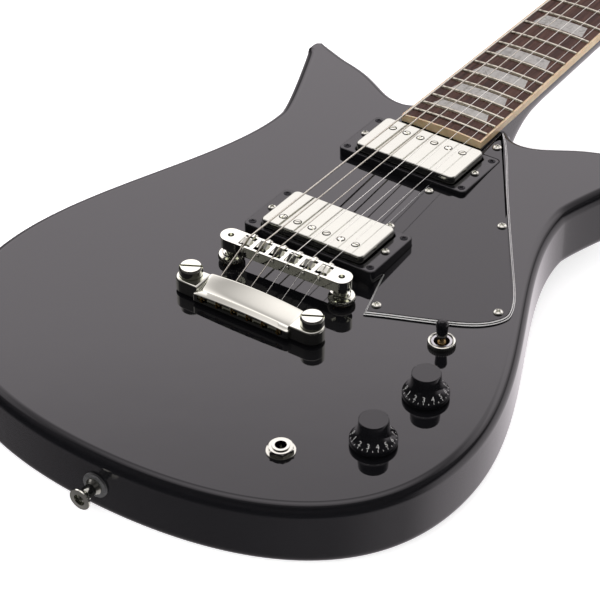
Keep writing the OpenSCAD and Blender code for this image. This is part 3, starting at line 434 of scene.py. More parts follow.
def rounded_rect(w, h, r, steps=8):
    """Outline points of a rounded rectangle about the origin, anticlockwise."""
    out = []
    for cx, cy, start in ((1, 1, 0), (-1, 1, 90), (-1, -1, 180), (1, -1, 270)):
        for k in range(steps + 1):
            a = math.radians(start + 90 * k / steps)
            out.append((cx * (w / 2 - r) + r * math.cos(a), cy * (h / 2 - r) + r * math.sin(a)))
    return out


def slab(w, h, corner, levels):
    """A rounded rectangle through levels of (inset, z)."""
    return rings_mesh([[(x, y, z) for x, y in rounded_rect(w - 2 * d, h - 2 * d, max(corner - d, 0.0002))]
                       for d, z in levels])


def fillet(z, radius, steps=5, top=True):
    """Levels of (inset, z) that round an edge at height z."""
    out = []
    for k in range(steps + 1):
        a = math.radians(90 * k / steps)
        out.append((radius * (1 - math.cos(a)), z - radius + radius * math.sin(a) if top
                    else z + radius - radius * math.sin(a)))
    return out if top else out[::-1]


def cut(ob, part, name, solver="EXACT"):
    """Takes a closed shape out of an object."""
    me = bpy.data.meshes.new(name)
    me.from_pydata([tuple(p) for p in part[0]], [], part[1])
    bm = bmesh.new()
    bm.from_mesh(me)
    bmesh.ops.recalc_face_normals(bm, faces=bm.faces)
    bm.to_mesh(me)
    bm.free()
    tool = bpy.data.objects.new(name, me)
    bpy.context.scene.collection.objects.link(tool)
    apply_boolean(ob, tool, "DIFFERENCE", solver)


def apply_boolean(ob, tool, operation, solver="EXACT"):
    b = ob.modifiers.new("boolean", "BOOLEAN")
    b.operation = operation
    b.solver = solver
    b.use_self = True
    b.object = tool
    dg = bpy.context.evaluated_depsgraph_get()
    dg.update()
    result = bpy.data.meshes.new_from_object(ob.evaluated_get(dg))
    ob.modifiers.remove(b)
    old = ob.data
    ob.data = result
    result.name = old.name
    bpy.data.meshes.remove(old)
    data = tool.data
    bpy.data.objects.remove(tool)
    bpy.data.meshes.remove(data)


# ---------------------------------------------------------------- outlines


def bezier_line(knots, step):
    """Points through knots of (x, y, heading, pull in, pull out) in mm, returned in metres."""
    out = []
    for a, b in zip(knots, knots[1:]):
        pa, pb = Vector(a[:2]), Vector(b[:2])
        ha = Vector((math.cos(math.radians(a[2])), math.sin(math.radians(a[2]))))
        hb = Vector((math.cos(math.radians(b[2])), math.sin(math.radians(b[2]))))
        ca, cb = pa + ha * a[4], pb - hb * b[3]
        n = max(5, math.ceil((pb - pa).length / step))
        for k in range(n):
            t = k / n
            p = pa * (1 - t) ** 3 + ca * 3 * t * (1 - t) ** 2 + cb * 3 * t * t * (1 - t) + pb * t ** 3
            out.append((p.x * MM, p.y * MM))
    out.append((knots[-1][0] * MM, knots[-1][1] * MM))
    return out


def both_sides(half):
    """A closed outline from its half for x >= 0, which starts and may end on x = 0."""
    other = [(-x, y) for x, y in reversed(half)]
    line = half + other
    out = []
    for p in line:
        if not out or (Vector(p) - Vector(out[-1])).length > 1e-6:
            out.append(p)
    if (Vector(out[0]) - Vector(out[-1])).length < 1e-6:
        out.pop()
    return out


def inward(outline):
    """Inward normal at each point of an anticlockwise outline."""
    n = len(outline)
    out = []
    for i in range(n):
        t = (Vector(outline[(i + 1) % n]) - Vector(outline[i - 1])).normalized()
        out.append(Vector((-t.y, t.x)))
    return out


def room(outline, normals, most):
    """How far each point can move inwards before it meets the outline's other side."""
    pts = [Vector(p) for p in outline]
    free = []
    for p, n in zip(pts, normals):
        d = most
        for q in pts:
            v = q - p
            along = v.dot(n)
            if along > 1e-7 and v.length < 4 * most:
                d = min(d, 0.92 * v.length_squared / (2 * along))
        free.append(d)
    for _ in range(6):
        free = [min(free[i], (free[i - 1] + free[i] + free[(i + 1) % len(free)]) / 3)
                for i in range(len(free))]
    return free


BODY_KNOTS = [
    (0, -183.5, 0, 0, 70), (161.5, -66, 90, 97, 71), (103, 138.5, 90, 61, 12), (129, 211, 79, 2, 6),
    (124.5, 222.5, 165, 7, 4), (98.5, 214.3, 195, 8, 20), (60, 197, 210, 17, 4), (44, 191.8, 180, 6.5, 4),
    (34, 196, 130, 4, 2), (28, 199, 180, 2, 0),
]
HEAD_KNOTS = [
    (21.5, -2, 90, 0, 8), (37, 30, 62, 14, 6), (41.5, 48, 90, 8, 40), (38.5, 150, 97, 30, 10),
    (26, 178, 150, 14, 8), (0, 184, 180, 12, 0),
]


def rounded_prism(outline, z0, z1, radius, steps=8):
    """A flat-faced solid on an outline, with both edges rounded."""
    normals = inward(outline)
    free = room(outline, normals, radius)

    def ring(share, z):
        return [(p[0] + n.x * d * share, p[1] + n.y * d * share, z)
                for p, n, d in zip(outline, normals, free)]

    rings = []
    for k in range(steps + 1):
        a = math.radians(90 * k / steps)
        rings.append(ring(1 - math.sin(a), z0 + radius * (1 - math.cos(a))))
    for k in range(steps + 1):
        a = math.radians(90 * k / steps)
        rings.append(ring(1 - math.cos(a), z1 - radius + radius * math.sin(a)))
    return rings_mesh(rings)


# ---------------------------------------------------------------- body
def disc(x, y, z0, z1, r, n=40):
    return moved(revolved([(0, z0), (r, z0), (r, z1), (0, z1)], n), at(x, y))


body = add("body_lacquered", *rounded_prism(both_sides(bezier_line(BODY_KNOTS, 3.2)), 0, BODY_T, EDGE_R, 9),
           M["lacquer"], nodes=["body"], slot="black_lacquer")
cutters = []
for y, _, _ in (NECK_PICKUP, BRIDGE_PICKUP):
    cutters.append(moved(slab(0.074, 0.041, 0.005, [(0, BODY_T - 0.022), (0, BODY_T + 0.001)]), at(0, y)))
    for x in (-1, 1):
        cutters.append(moved(slab(0.007, 0.015, 0.0015, [(0, BODY_T - 0.022), (0, BODY_T + 0.001)]),
                             at(x * 0.0395, y)))
cutters.append(box((-0.0194, 0.1669, 0.010), (0.0194, 0.2069, BODY_T + 0.001)))
for x, y, r, depth in ((STUD_X, STUD_Y, 0.0061, 0.018), (-STUD_X, STUD_Y, 0.0061, 0.018),
                       (0.03729, -0.0040, 0.0055, 0.018), (-0.03729, -0.0059, 0.0055, 0.018),
                       (*VOLUME_AT, 0.0048, 0.009), (*TONE_AT, 0.0048, 0.009), (*JACK_AT, 0.005, 0.009),
                       (*SELECTOR_AT, 0.0062, 0.009)):
    cutters.append(disc(x, y, BODY_T - depth, BODY_T + 0.001, r))
cut(body, merged(cutters), "body_cutters")
smooth_by_angle(body, 40)
even = body.modifiers.new("even_normals", "WEIGHTED_NORMAL")
even.keep_sharp = True

# ---------------------------------------------------------------- neck and headstock
NECK_STATIONS = [
    (0.1671, 38, 0.45), (0.205, 38, 0.45), (0.212, 34, 0.5), (0.219, 28, 0.6), (0.227, 22.5, 0.7),
    (0.237, 19, 0.8), (0.252, 17.6, 0.85), (0.300, 17.2, 0.85), (0.400, 16.4, 0.85), (0.520, 15.4, 0.85),
    (0.605, 14.9, 0.85), (0.622, 15.6, 0.85), (0.6334, 15.5, 0.8),
]


def station(y):
    """Depth and squareness of the neck's back at y, eased between the stations."""
    for (ya, da, sa), (yb, db, sb) in zip(NECK_STATIONS, NECK_STATIONS[1:]):
        if y <= yb + 1e-9:
            t = (y - ya) / (yb - ya)
            return da + (db - da) * t, sa + (sb - sa) * t
    return NECK_STATIONS[-1][1:]


neck_rings = []
y = 0.1671
while y < 0.6334:
    neck_rings.append(y)
    y += 0.0022 if y < 0.26 or y > 0.6 else 0.012
neck_rings.append(0.6334)
loft = []
for y in neck_rings:
    depth, square = station(y)
    w = board_w(min(y, SCALE)) / 2 - 0.00005
    ring = [(w, y, -BOARD_T - 0.0001), (w, y, -BOARD_T - 0.0006)]
    for k in range(1, 36):
        a = math.pi * k / 36
        c = math.cos(a)
        ring.append((w * math.copysign(abs(c) ** square, c), y,
                     -BOARD_T - 0.0006 - (depth - 0.65) * MM * math.sin(a) ** square))
    ring += [(-w, y, -BOARD_T - 0.0006), (-w, y, -BOARD_T - 0.0001)]
    loft.append(ring)
neck_shaft = moved(rings_mesh(loft), NECK_TILT)
head = moved(rounded_prism(both_sides(bezier_line(HEAD_KNOTS, 3)), -HEAD_T, 0, 0.0013, 4), HEAD_TILT)
neck = add("neck_lacquered", *neck_shaft, M["lacquer"], nodes=["neck"], slot="black_lacquer")
smooth_by_angle(neck, 50)
headstock = add("headstock_lacquered", *head, M["lacquer"], nodes=["neck"], slot="black_lacquer")
holes = [moved(disc(*tuner_at(i), -HEAD_T - 0.001, 0.001, 0.005), HEAD_TILT) for i in range(6)]
holes.append(moved(box((-0.005, 0.0005, -0.008), (0.005, 0.024, 0.001)), HEAD_TILT))
cut(headstock, merged(holes), "head_cutters")
smooth_by_angle(headstock, 40)
headstock.modifiers.new("even_normals", "WEIGHTED_NORMAL").keep_sharp = True

# ---------------------------------------------------------------- screws, domed with a cross recess


def phillips(r, dome, cross=0.62, wide=0.17, under=0.0):
    """Domed head of radius r standing on z = 0, with a cross cut by sinking its own mesh."""
    verts, faces = [], []
    rows, cols = 14, 56
    recess = dome * 0.8
    for j in range(rows + 1):
        rr = r * j / rows
        for k in range(cols):
            a = TAU * k / cols
            x, y = rr * math.cos(a), rr * math.sin(a)
            z = dome * math.sqrt(max(0, 1 - (rr / r) ** 2 * 0.93)) * 0.9 + dome * 0.1
            for u, v in ((x, y), (y, x)):
                along, across = abs(u) / (r * cross), abs(v) / (r * wide)
                if along < 1 and across < 1:
                    z = min(z, dome - recess * min(1, (1 - along) * 4, (1 - across) * 3))
            verts.append((x, y, z))
    for j in range(rows):
        for k in range(cols):
            n = (k + 1) % cols
            faces.append((j * cols + k, j * cols + n, (j + 1) * cols + n, (j + 1) * cols + k))
    base = len(verts)
    verts += [(r * math.cos(TAU * k / cols), r * math.sin(TAU * k / cols), -under) for k in range(cols)]
    faces += [(rows * cols + k, rows * cols + (k + 1) % cols, base + (k + 1) % cols, base + k)
              for k in range(cols)]
    faces.append(tuple(base + k for k in range(cols))[::-1])
    return verts, faces


def shank(r, length, z):
    return revolved([(0, z), (r, z), (r, z - length + r), (0, z - length)], 20)


def ring_z(p, y):
    return p[2] - y * math.tan(STRING_TILT)


nickel_heads, black_heads = [], []
for n, (x, y) in enumerate(GUARD_SCREWS):
    where = at(x * MM, y * MM, BODY_T + GUARD_T + 0.00004) @ turn(31 * n + 12, "Z")
    nickel_heads += [moved(phillips(0.0029, 0.0014), where), moved(shank(0.00125, 0.012, 0), where)]
for p in (NECK_PICKUP, BRIDGE_PICKUP):
    for s in (-1, 1):
        where = at(s * HEIGHT_SCREW_X, p[0], BODY_T + p[2] + 0.00017) @ turn(24 * s + p[0] * 400, "Z")
        nickel_heads += [moved(phillips(0.0026, 0.0015), where),
                         moved(shank(0.00145, p[2] + 0.015, 0), where)]
        for t in (-1, 1):
            dy = t * RING_SCREWS[1] / 2
            z = BODY_T + ring_z(p, dy) - 0.0003
            where = at(s * RING_SCREWS[0] / 2, p[0] + dy, z) @ turn(17 * s + 40 * t, "Z")
            black_heads += [moved(phillips(0.0022, 0.0008), where), moved(shank(0.001, 0.012, 0), where)]
for i in range(6):
    x, y = tuner_at(i)
    where = (HEAD_TILT @ at(x - side_of(i) * 0.003, y - 0.0095, -HEAD_T - 0.00215) @ turn(180, "X")
             @ turn(29 * i, "Z"))
    nickel_heads += [moved(phillips(0.0019, 0.001), where), moved(shank(0.00085, 0.008, 0), where)]
TAIL = at(0, -0.1835, 0.020) @ turn(90, "X")
where = TAIL @ at(0, 0, 0.0117) @ turn(20, "Z")
nickel_heads += [moved(phillips(0.0032, 0.002), where), moved(shank(0.00175, 0.032, 0), where)]
for n, (x, y) in enumerate(((-9, 12), (9, 12), (0, 32))):
    where = HEAD_TILT @ at(x * MM, y * MM, 0.0019) @ turn(35 * n, "Z")
    black_heads += [moved(phillips(0.0018, 0.0009), where), moved(shank(0.00085, 0.007, 0), where)]
COVER_SCREWS = [(SELECTOR_AT, 150), (SELECTOR_AT, 45), (VOLUME_AT, 5), (TONE_AT, -25), (JACK_AT, -80),
                (JACK_AT, 165), (VOLUME_AT, 200)]
for n, (p, a) in enumerate(COVER_SCREWS):
    x, y = p[0] + 0.020 * math.cos(math.radians(a)), p[1] + 0.020 * math.sin(math.radians(a))
    where = at(x, y, 0.001) @ turn(180, "X") @ turn(33 * n, "Z")
    black_heads += [moved(phillips(0.0026, 0.0009), where), moved(shank(0.00125, 0.009, 0), where)]
smooth_by_angle(add("screws_nickel_domed", *merged(nickel_heads), M["screw"], nodes=["nickel_screws"],
                    slot="nickel_screw"), 50)
smooth_by_angle(add("screws_black_domed", *merged(black_heads), M["black_screw"], nodes=["black_screws"],
                    slot="black_screw"), 50)

# ---------------------------------------------------------------- pickup rings and covers
for p, node in ((NECK_PICKUP, "neck_pickup_ring"), (BRIDGE_PICKUP, "bridge_pickup_ring")):
    outer = rounded_rect(*RING_SIZE, 0.003, 8)
    inner = rounded_rect(COVER_SIZE[0] + 0.0014, COVER_SIZE[1] + 0.0014, 0.004, 8)
    n = len(outer)
    r = 0.0007
    loops = []
    for line, sign in ((outer, 1), (inner, -1)):
        levels = [(0, 0.00002)] + [(sign * r * (1 - math.cos(math.radians(a))),
                                    -r + r * math.sin(math.radians(a))) for a in (0, 22, 45, 68, 90)]
        for j, (d, z) in enumerate(levels):
            loop = []
            for x, y in line:
                if sign > 0:
                    k = (1 - 2 * d / RING_SIZE[0], 1 - 2 * d / RING_SIZE[1])
                else:
                    k = (1 - 2 * d / COVER_SIZE[0], 1 - 2 * d / COVER_SIZE[1])
                px, py = x * k[0], y * k[1]
                loop.append((px, py, z if j == 0 else ring_z(p, py) + z))
            loops.append(loop)
    verts = [v for loop in loops for v in loop]
    outer_rows, inner_rows = list(range(6)), list(range(6, 12))
    order = outer_rows + inner_rows[::-1]
    faces = []
    for a, b in zip(order, order[1:] + order[:1]):
        for k in range(n):
            j = (k + 1) % n
            faces.append((a * n + k, a * n + j, b * n + j, b * n + k))
    ring = add(node + "_smooth", verts, faces, M["ring"], nodes=[node], slot="black_plastic",
               matrix=at(0, p[0], BODY_T))
    dimples = [disc(s * RING_SCREWS[0] / 2, p[0] + t * RING_SCREWS[1] / 2,
                    BODY_T + ring_z(p, t * RING_SCREWS[1] / 2) - 0.00035, BODY_T + 0.03, 0.0024, 32)
               for s in (-1, 1) for t in (-1, 1)]
    cut(ring, merged(dimples), node + "_dimples")
    smooth_by_angle(ring, 40)


def cover_matrix(p):
    m = at(0, p[0], BODY_T + p[1]) @ Matrix.Rotation(-STRING_TILT, 4, "X")
    return m if p is NECK_PICKUP else m @ turn(180, "Z")


for n, p in enumerate((NECK_PICKUP, BRIDGE_PICKUP)):
    cover = add("pickup_cover_%d" % n, *slab(*COVER_SIZE, 0.0035, [(0, -COVER_H)] + fillet(0, 0.0011, 6)),
                M["cover"], nodes=["pickup_covers"], slot="nickel", matrix=cover_matrix(p))
    tools = [slab(COVER_SIZE[0] - 0.0014, COVER_SIZE[1] - 0.0014, 0.0028, [(0, -0.02), (0, -0.0007)])]
    tools += [disc((k - 2.5) * POLE_PITCH, POLE_ROW, -0.003, 0.002, 0.0026, 40) for k in range(6)]
    cut(cover, moved(merged(tools), cover_matrix(p)), "cover_cutters_%d" % n)
    smooth_by_angle(cover, 35)
    cover.modifiers.new("even_normals", "WEIGHTED_NORMAL").keep_sharp = True

POLE_TURNS = [35, -20, 80, 12, -48, 62, 5, -70, 44, -33, 18, 88]
poles, slots = [], []
for n, p in enumerate((NECK_PICKUP, BRIDGE_PICKUP)):
    for k in range(6):
        where = cover_matrix(p) @ at((k - 2.5) * POLE_PITCH, POLE_ROW)
        pole = revolved([(0, -0.017), (0.0015, -0.017), (0.0015, -0.0006), (0.00215, -0.0006),
                         (0.00215, 0.0001), (0.0020, 0.0003), (0.0017, 0.0004), (0, 0.0004)], 40)
        poles.append(moved(pole, where))
        slot = box((-0.003, -0.00042, -0.0005), (0.003, 0.00042, 0.001))
        slots.append(moved(slot, where @ turn(POLE_TURNS[6 * n + k], "Z")))
pole_ob = add("pole_screws_slotted", *merged(poles), M["screw"], nodes=["pickup_pole_screws"],
              slot="nickel_screw")
cut(pole_ob, merged(slots), "pole_slots")
smooth_by_angle(pole_ob, 40)

# ---------------------------------------------------------------- pickguard in three plies
GUARD_LINE = bezier_line([
    (29.4, 193, -45, 0, 12), (58.7, 148, -60, 20, 20), (100.7, 80.2, -58, 20, 22),
    (124.4, 35.5, -82, 12, 5), (109.5, 15.7, 210, 12, 16), (54.4, -8, 206, 16, 0)], 3) + [
        (0.0446, 0.027), (0.020, 0.040), (0.020, 0.150), (0.0294, 0.166)]
GUARD_LINE = GUARD_LINE[::-1]


def inset(outline, d):
    """The outline moved inwards by d, mitred at its corners."""
    out = []
    n = len(outline)
    for i in range(n):
        a, b, c = (Vector(outline[j % n]) for j in (i - 1, i, i + 1))
        t1, t2 = (b - a).normalized(), (c - b).normalized()
        n1, n2 = Vector((-t1.y, t1.x)), Vector((-t2.y, t2.x))
        m = (n1 + n2)
        out.append(tuple(b + m * (d / max(0.35, 1 + n1.dot(n2)))))
    return out


PLIES = [(0.0, 0.00002), (0.0, 0.0007), (0.0004, 0.0011), (0.0008, 0.0015), (0.0013, 0.0020),
         (0.0016, GUARD_T)]
area = sum(a[0] * b[1] - b[0] * a[1] for a, b in zip(GUARD_LINE, GUARD_LINE[1:] + GUARD_LINE[:1]))
if area < 0:
    GUARD_LINE = GUARD_LINE[::-1]
rings_ = [[(x, y, BODY_T + z) for x, y in inset(GUARD_LINE, d)] for d, z in PLIES]
guard = add("pickguard_plies", *rings_mesh(rings_), [M["guard"], M["ply"]], nodes=["pickguard"],
            slot="black_plastic")
tools = []
for p in (NECK_PICKUP, BRIDGE_PICKUP):
    tools.append(moved(slab(RING_SIZE[0] + 0.0006, RING_SIZE[1] + 0.0006, 0.0033,
                            [(0, BODY_T - 0.001), (0, BODY_T + 0.01)]), at(0, p[0])))
tools += [disc(x * MM, y * MM, BODY_T - 0.001, BODY_T + 0.01, 0.0016, 32) for x, y in GUARD_SCREWS]
cut(guard, merged(tools), "guard_cutters")
for f in guard.data.polygons:
    z = f.center.z - BODY_T
    f.material_index = 1 if (0.0007 < z < 0.0011 or 0.0015 < z < 0.0019) and abs(f.normal.z) < 0.95 else 0
smooth_by_angle(guard, 25)

# ---------------------------------------------------------------- tailpiece and its studs
BAR_BACK, LIP_Y, LIP_TOP, TAIL_BASE, EAR_TOP = -0.0516, -0.033, 0.0122, 0.0012, 0.010
TAIL_ARCH = 0.250


def tail_x(i):
    return (i - 2.5) * 0.01035


def ball_z(i):
    return 0.0059 - (tail_x(i) * 1000) ** 2 / 900 * MM


section = [(BAR_BACK + 0.0012, TAIL_BASE), (LIP_Y - 0.0010, TAIL_BASE)]
for k in range(5):
    a = math.radians(-90 + 22.5 * k)
    section.append((LIP_Y - 0.001 + 0.001 * math.cos(a), TAIL_BASE + 0.001 + 0.001 * math.sin(a)))
for k in range(8):
    a = math.radians(15 * k)
    section.append((LIP_Y - 0.0013 + 0.0013 * math.cos(a), LIP_TOP - 0.0013 + 0.0013 * math.sin(a)))
for k in range(1, 15):
    a = math.radians(60 * k / 14)
    section.append((LIP_Y - 0.0024 - 0.01364 * math.sin(a), LIP_TOP - 0.0003 - 0.0034 * math.sin(1.5 * a)))
section += [(BAR_BACK + 0.0035, 0.0089), (BAR_BACK + 0.0014, 0.0084)]
for k in range(6):
    a = math.radians(90 + 18 * k)
    section.append((BAR_BACK + 0.0012 + 0.0012 * math.cos(a), 0.0071 + 0.0012 * math.sin(a)))
section.append((BAR_BACK, TAIL_BASE + 0.0012))
bar_rings = []
HALF = 0.0325
for k in range(41):
    u = -1 + 2 * k / 40
    x = HALF * math.copysign(1 - (1 - abs(u)) ** 1.6, u)
    edge = max(0, (abs(x) - (HALF - 0.0022)) / 0.0022)
    shrink = 0.0022 * (1 - math.sqrt(max(0, 1 - edge * edge)))
    fall = x * x / (2 * TAIL_ARCH)
    ring_pts = []
    for yy, zz in section:
        top = (zz - TAIL_BASE) / (LIP_TOP - TAIL_BASE)
        z = zz - (fall + shrink * 0.6) * max(0, min(1, top * 1.4 - 0.4) if top < 1 else 1)
        y_ = yy + (shrink * 0.6 if yy < -0.045 else -shrink * 0.25 if yy > -0.0345 else 0)
        ring_pts.append((x, y_, BODY_T + z))
    bar_rings.append(ring_pts)
tail = add("tailpiece_bar", *rings_mesh(bar_rings), M["nickel"], nodes=["tailpiece"], slot="nickel")
for s in (-1, 1):
    a, b = Vector((s * 0.031, STUD_Y - 0.0015)), Vector((s * (STUD_X + 0.0004), STUD_Y - 0.0015))
    line = []
    for k in range(25):
        t = math.radians(-90 + 180 * k / 24) if s > 0 else math.radians(90 + 180 * k / 24)
        line.append((b.x + 0.0076 * math.cos(t), b.y + 0.0076 * math.sin(t)))
    line += [(a.x, a.y + s * 0.0076), (a.x, a.y - s * 0.0076)]
    ear = rings_mesh([[(x, y_, BODY_T + z) for x, y_ in inset(line, d)]
                      for d, z in [(0.0006, TAIL_BASE), (0, TAIL_BASE + 0.0006)]
                      + fillet(EAR_TOP, 0.0014, 5)])
    me = bpy.data.meshes.new("ear")
    me.from_pydata([tuple(v) for v in ear[0]], [], ear[1])
    tool = bpy.data.objects.new("ear", me)
    bpy.context.scene.collection.objects.link(tool)
    apply_boolean(tail, tool, "UNION")
tools = []
for s in (-1, 1):
    line = []
    for k in range(25):
        t = math.radians(180 + 180 * k / 24)
        line.append((s * STUD_X + 0.00415 * math.cos(t), STUD_Y + 0.00415 * math.sin(t)))
    line += [(s * STUD_X + 0.00415, STUD_Y + 0.015), (s * STUD_X - 0.00415, STUD_Y + 0.015)]
    tools.append(rings_mesh([[(x, y_, BODY_T + z) for x, y_ in line] for z in (-0.001, 0.02)]))
for i in range(6):
    bore = revolved([(0, 0), (0.00215, 0), (0.00215, 0.0065), (0, 0.0065)], 28)
    tools.append(moved(bore, at(tail_x(i), BAR_BACK - 0.001, BODY_T + ball_z(i)) @ turn(-90, "X")))
    start = Vector((tail_x(i), BAR_BACK + 0.0037, BODY_T + ball_z(i)))
    end = Vector((tail_x(i), LIP_Y + 0.0004, BODY_T + LIP_TOP - 0.0017 - tail_x(i) ** 2 / (2 * TAIL_ARCH)))
    d = end - start
    hole = revolved([(0, 0), (0.001, 0), (0.001, d.length * 1.2), (0, d.length * 1.2)], 20)
    tools.append(moved(hole, Matrix.Translation(start) @ d.to_track_quat("Z", "Y").to_matrix().to_4x4()))
cut(tail, merged(tools), "tail_cutters")
cut(tail, box((-0.029, BAR_BACK - 0.001, BODY_T + 0.0042), (0.029, BAR_BACK + 0.0022, BODY_T + 0.0070)),
    "tail_groove")
smooth_by_angle(tail, 32)
tail.modifiers.new("even_normals", "WEIGHTED_NORMAL").keep_sharp = True

studs, stud_slots = [], []
for s in (-1, 1):
    prof = [(0, -0.014), (0.00395, -0.014), (0.00395, -0.0002), (0.0064, 0.0), (0.0064, 0.00095),
            (0.0062, 0.00115), (0.004, 0.00115), (0.004, EAR_TOP + 0.00005), (0.0066, EAR_TOP + 0.00005),
            (0.0069, EAR_TOP + 0.0004), (0.0069, 0.0143), (0.0068, 0.0146), (0.0062, 0.0153),
            (0.0059, 0.0156), (0, 0.0156)]
    studs.append(moved(revolved(prof, 72), at(s * STUD_X, STUD_Y, BODY_T)))
    stud_slots.append(moved(box((-0.008, -0.0008, 0.0136), (0.008, 0.0008, 0.0166)),
                            at(s * STUD_X, STUD_Y, BODY_T) @ turn(28, "Z")))
stud_ob = add("tailpiece_studs_slotted", *merged(studs), M["nickel"], nodes=["tailpiece_studs"],
              slot="nickel")
cut(stud_ob, merged(stud_slots), "stud_slots")
smooth_by_angle(stud_ob, 35)
bevelled(stud_ob, 0.0002, 2, 50)

# ---------------------------------------------------------------- thumbwheels, panel nuts and bushings


def knurled(profile, count, depth, from_r, per=6):
    """A solid of revolution whose rim beyond from_r carries small vertical ridges."""
    n = count * per
    verts, faces = revolved(profile, n)
    out = []
    for v in verts:
        r = math.hypot(v[0], v[1])
        if r > from_r:
            a = math.atan2(v[1], v[0])
            k = 1 - depth / r * (0.5 - 0.5 * math.cos(count * a))
            out.append((v[0] * k, v[1] * k, v[2]))
        else:
            out.append(v)
    return out, faces


def hexagon(af, hole, h, chamfer=0.0005):
    """A hex nut with its top corners turned off, and a hole."""
    n = 60
    rows = []
    flat = af / 2

    def hex_r(a):
        return flat / math.cos((a % (TAU / 6)) - TAU / 12)

    corner = flat / math.cos(TAU / 12)
    for z, limit in ((0, 9), (h - chamfer, corner), (h, flat * 1.0)):
        rows.append([(min(hex_r(TAU * k / n), limit) * math.cos(TAU * k / n),
                      min(hex_r(TAU * k / n), limit) * math.sin(TAU * k / n), z) for k in range(n)])
    for z in (h, 0):
        rows.append([(hole * math.cos(TAU * k / n), hole * math.sin(TAU * k / n), z) for k in range(n)])
    verts = [v for row in rows for v in row]
    faces = []
    for a in range(5):
        b = (a + 1) % 5
        faces += [(a * n + k, a * n + (k + 1) % n, b * n + (k + 1) % n, b * n + k) for k in range(n)]
    return verts, faces


def washer(r_out, r_in, h):
    return hollow([(r_out, 0), (r_out, h - 0.00015), (r_out - 0.0002, h), (r_in, h), (r_in, 0)])


def hollow(profile, segments=64, count=0, depth=0.0, from_r=9.0):
    """A closed loop of (r, z) turned about Z."""
    verts, faces = [], []
    m = len(profile)
    for r, z in profile:
        for k in range(segments):
            a = TAU * k / segments
            rr = r - (depth * (0.5 - 0.5 * math.cos(count * a)) if count and r > from_r else 0)
            verts.append((rr * math.cos(a), rr * math.sin(a), z))
    for i in range(m):
        j = (i + 1) % m
        faces += [(i * segments + k, i * segments + (k + 1) % segments,
                   j * segments + (k + 1) % segments, j * segments + k) for k in range(segments)]
    return verts, faces


wheels = []
for x, y in ((0.03729, -0.0040), (-0.03729, -0.0059)):
    prof = [(0, -0.014), (0.0039, -0.014), (0.0039, 0.0016), (0.0070, 0.0016), (0.0079, 0.0022),
            (0.0079, 0.0042), (0.0074, 0.0047), (0.0056, 0.0048), (0.0052, 0.0050), (0.0050, 0.0060),
            (0.0047, 0.0062), (0.0034, 0.0062), (0.0034, 0.01065), (0.00295, 0.01065), (0.00295, 0.0152),
            (0.0027, 0.0155), (0, 0.0155)]
    wheels.append(moved(knurled(prof, 60, 0.0003, 0.00772), at(x, y, BODY_T)))
wheel_ob = add("bridge_posts_knurled", *merged(wheels), M["nickel"], nodes=["bridge_posts"], slot="nickel")
smooth_by_angle(wheel_ob, 38)

nuts = []
for p in (VOLUME_AT, TONE_AT):
    nuts += [moved(washer(0.0074, 0.00475, 0.0006), at(*p, BODY_T + 0.00002)),
             moved(hexagon(0.012, 0.00475, 0.0022), at(*p, BODY_T + 0.00067))]
nuts += [moved(washer(0.0081, 0.0048, 0.0008), at(*JACK_AT, BODY_T + 0.00002)),
         moved(hexagon(0.013, 0.0048, 0.0026), at(*JACK_AT, BODY_T + 0.00087) @ turn(12, "Z"))]
rim = hollow([(0.0079, 0.00002), (0.0080, 0.0003), (0.0080, 0.0023), (0.0076, 0.0029), (0.0071, 0.0031),
              (0.0066, 0.0029), (0.0062, 0.0023), (0.0059, 0.0019), (0.0059, 0.00002)],
             288, 36, 0.00035, 0.0078)
nuts.append(moved(rim, at(*SELECTOR_AT, BODY_T)))
for i in range(6):
    nuts += [moved(hexagon(0.012, 0.0041, 0.0026), HEAD_TILT @ at(*tuner_at(i), 0.00002)),
             moved(hollow([(0.0049, 0), (0.0049, HEAD_T - 0.003), (0.00308, HEAD_T - 0.003), (0.00308, 0)]),
                   HEAD_TILT @ at(*tuner_at(i), 0.003 - HEAD_T))]
smooth_by_angle(add("panel_nuts_turned", *merged(nuts), M["screw"], nodes=["panel_nuts"], slot="nickel"), 32)

# ---------------------------------------------------------------- knobs with numerals
KNOB = [(0, 0), (0.0124, 0), (0.0128, 0.0002), (0.0130, 0.0006), (0.0130, 0.0024), (0.0129, 0.0028),
        (0.0126, 0.0031), (0.0120, 0.0034), (0.0112, 0.0044), (0.0098, 0.0060), (0.0092, 0.0071),
        (0.0088, 0.0084), (0.0085, 0.0102), (0.0083, 0.0120), (0.0081, 0.0150), (0.0080, 0.0153),
        (0.0077, 0.0155), (0, 0.0155)]
SLOPE = [Vector(p) for p in KNOB[6:12]]


def text_mesh(text, height):
    """Verts and faces of a line of text, centred, standing on y = 0."""
    curve = bpy.data.curves.new("glyph", "FONT")
    curve.body = text
    curve.size = height * 1.4
    curve.align_x = "CENTER"
    curve.resolution_u = 3
    ob = bpy.data.objects.new("glyph", curve)
    bpy.context.scene.collection.objects.link(ob)
    dg = bpy.context.evaluated_depsgraph_get()
    me = bpy.data.meshes.new_from_object(ob.evaluated_get(dg))
    out = [v.co.copy() for v in me.vertices], [tuple(f.vertices) for f in me.polygons]
    bpy.data.objects.remove(ob)
    bpy.data.curves.remove(curve)
    bpy.data.meshes.remove(me)
    return out


def on_slope(u, v, angle):
    """A point u round and v up the knob's flared skirt, from the flare's foot."""
    for a, b in zip(SLOPE, SLOPE[1:]):
        span = b - a
        if v <= span.length or b is SLOPE[-1]:
            break
        v -= span.length
    p = a + span.normalized() * v + Vector((span.y, -span.x)).normalized() * 0.00003
    turned = angle + u / p.x
    return (p.x * math.cos(turned), p.x * math.sin(turned), p.y)


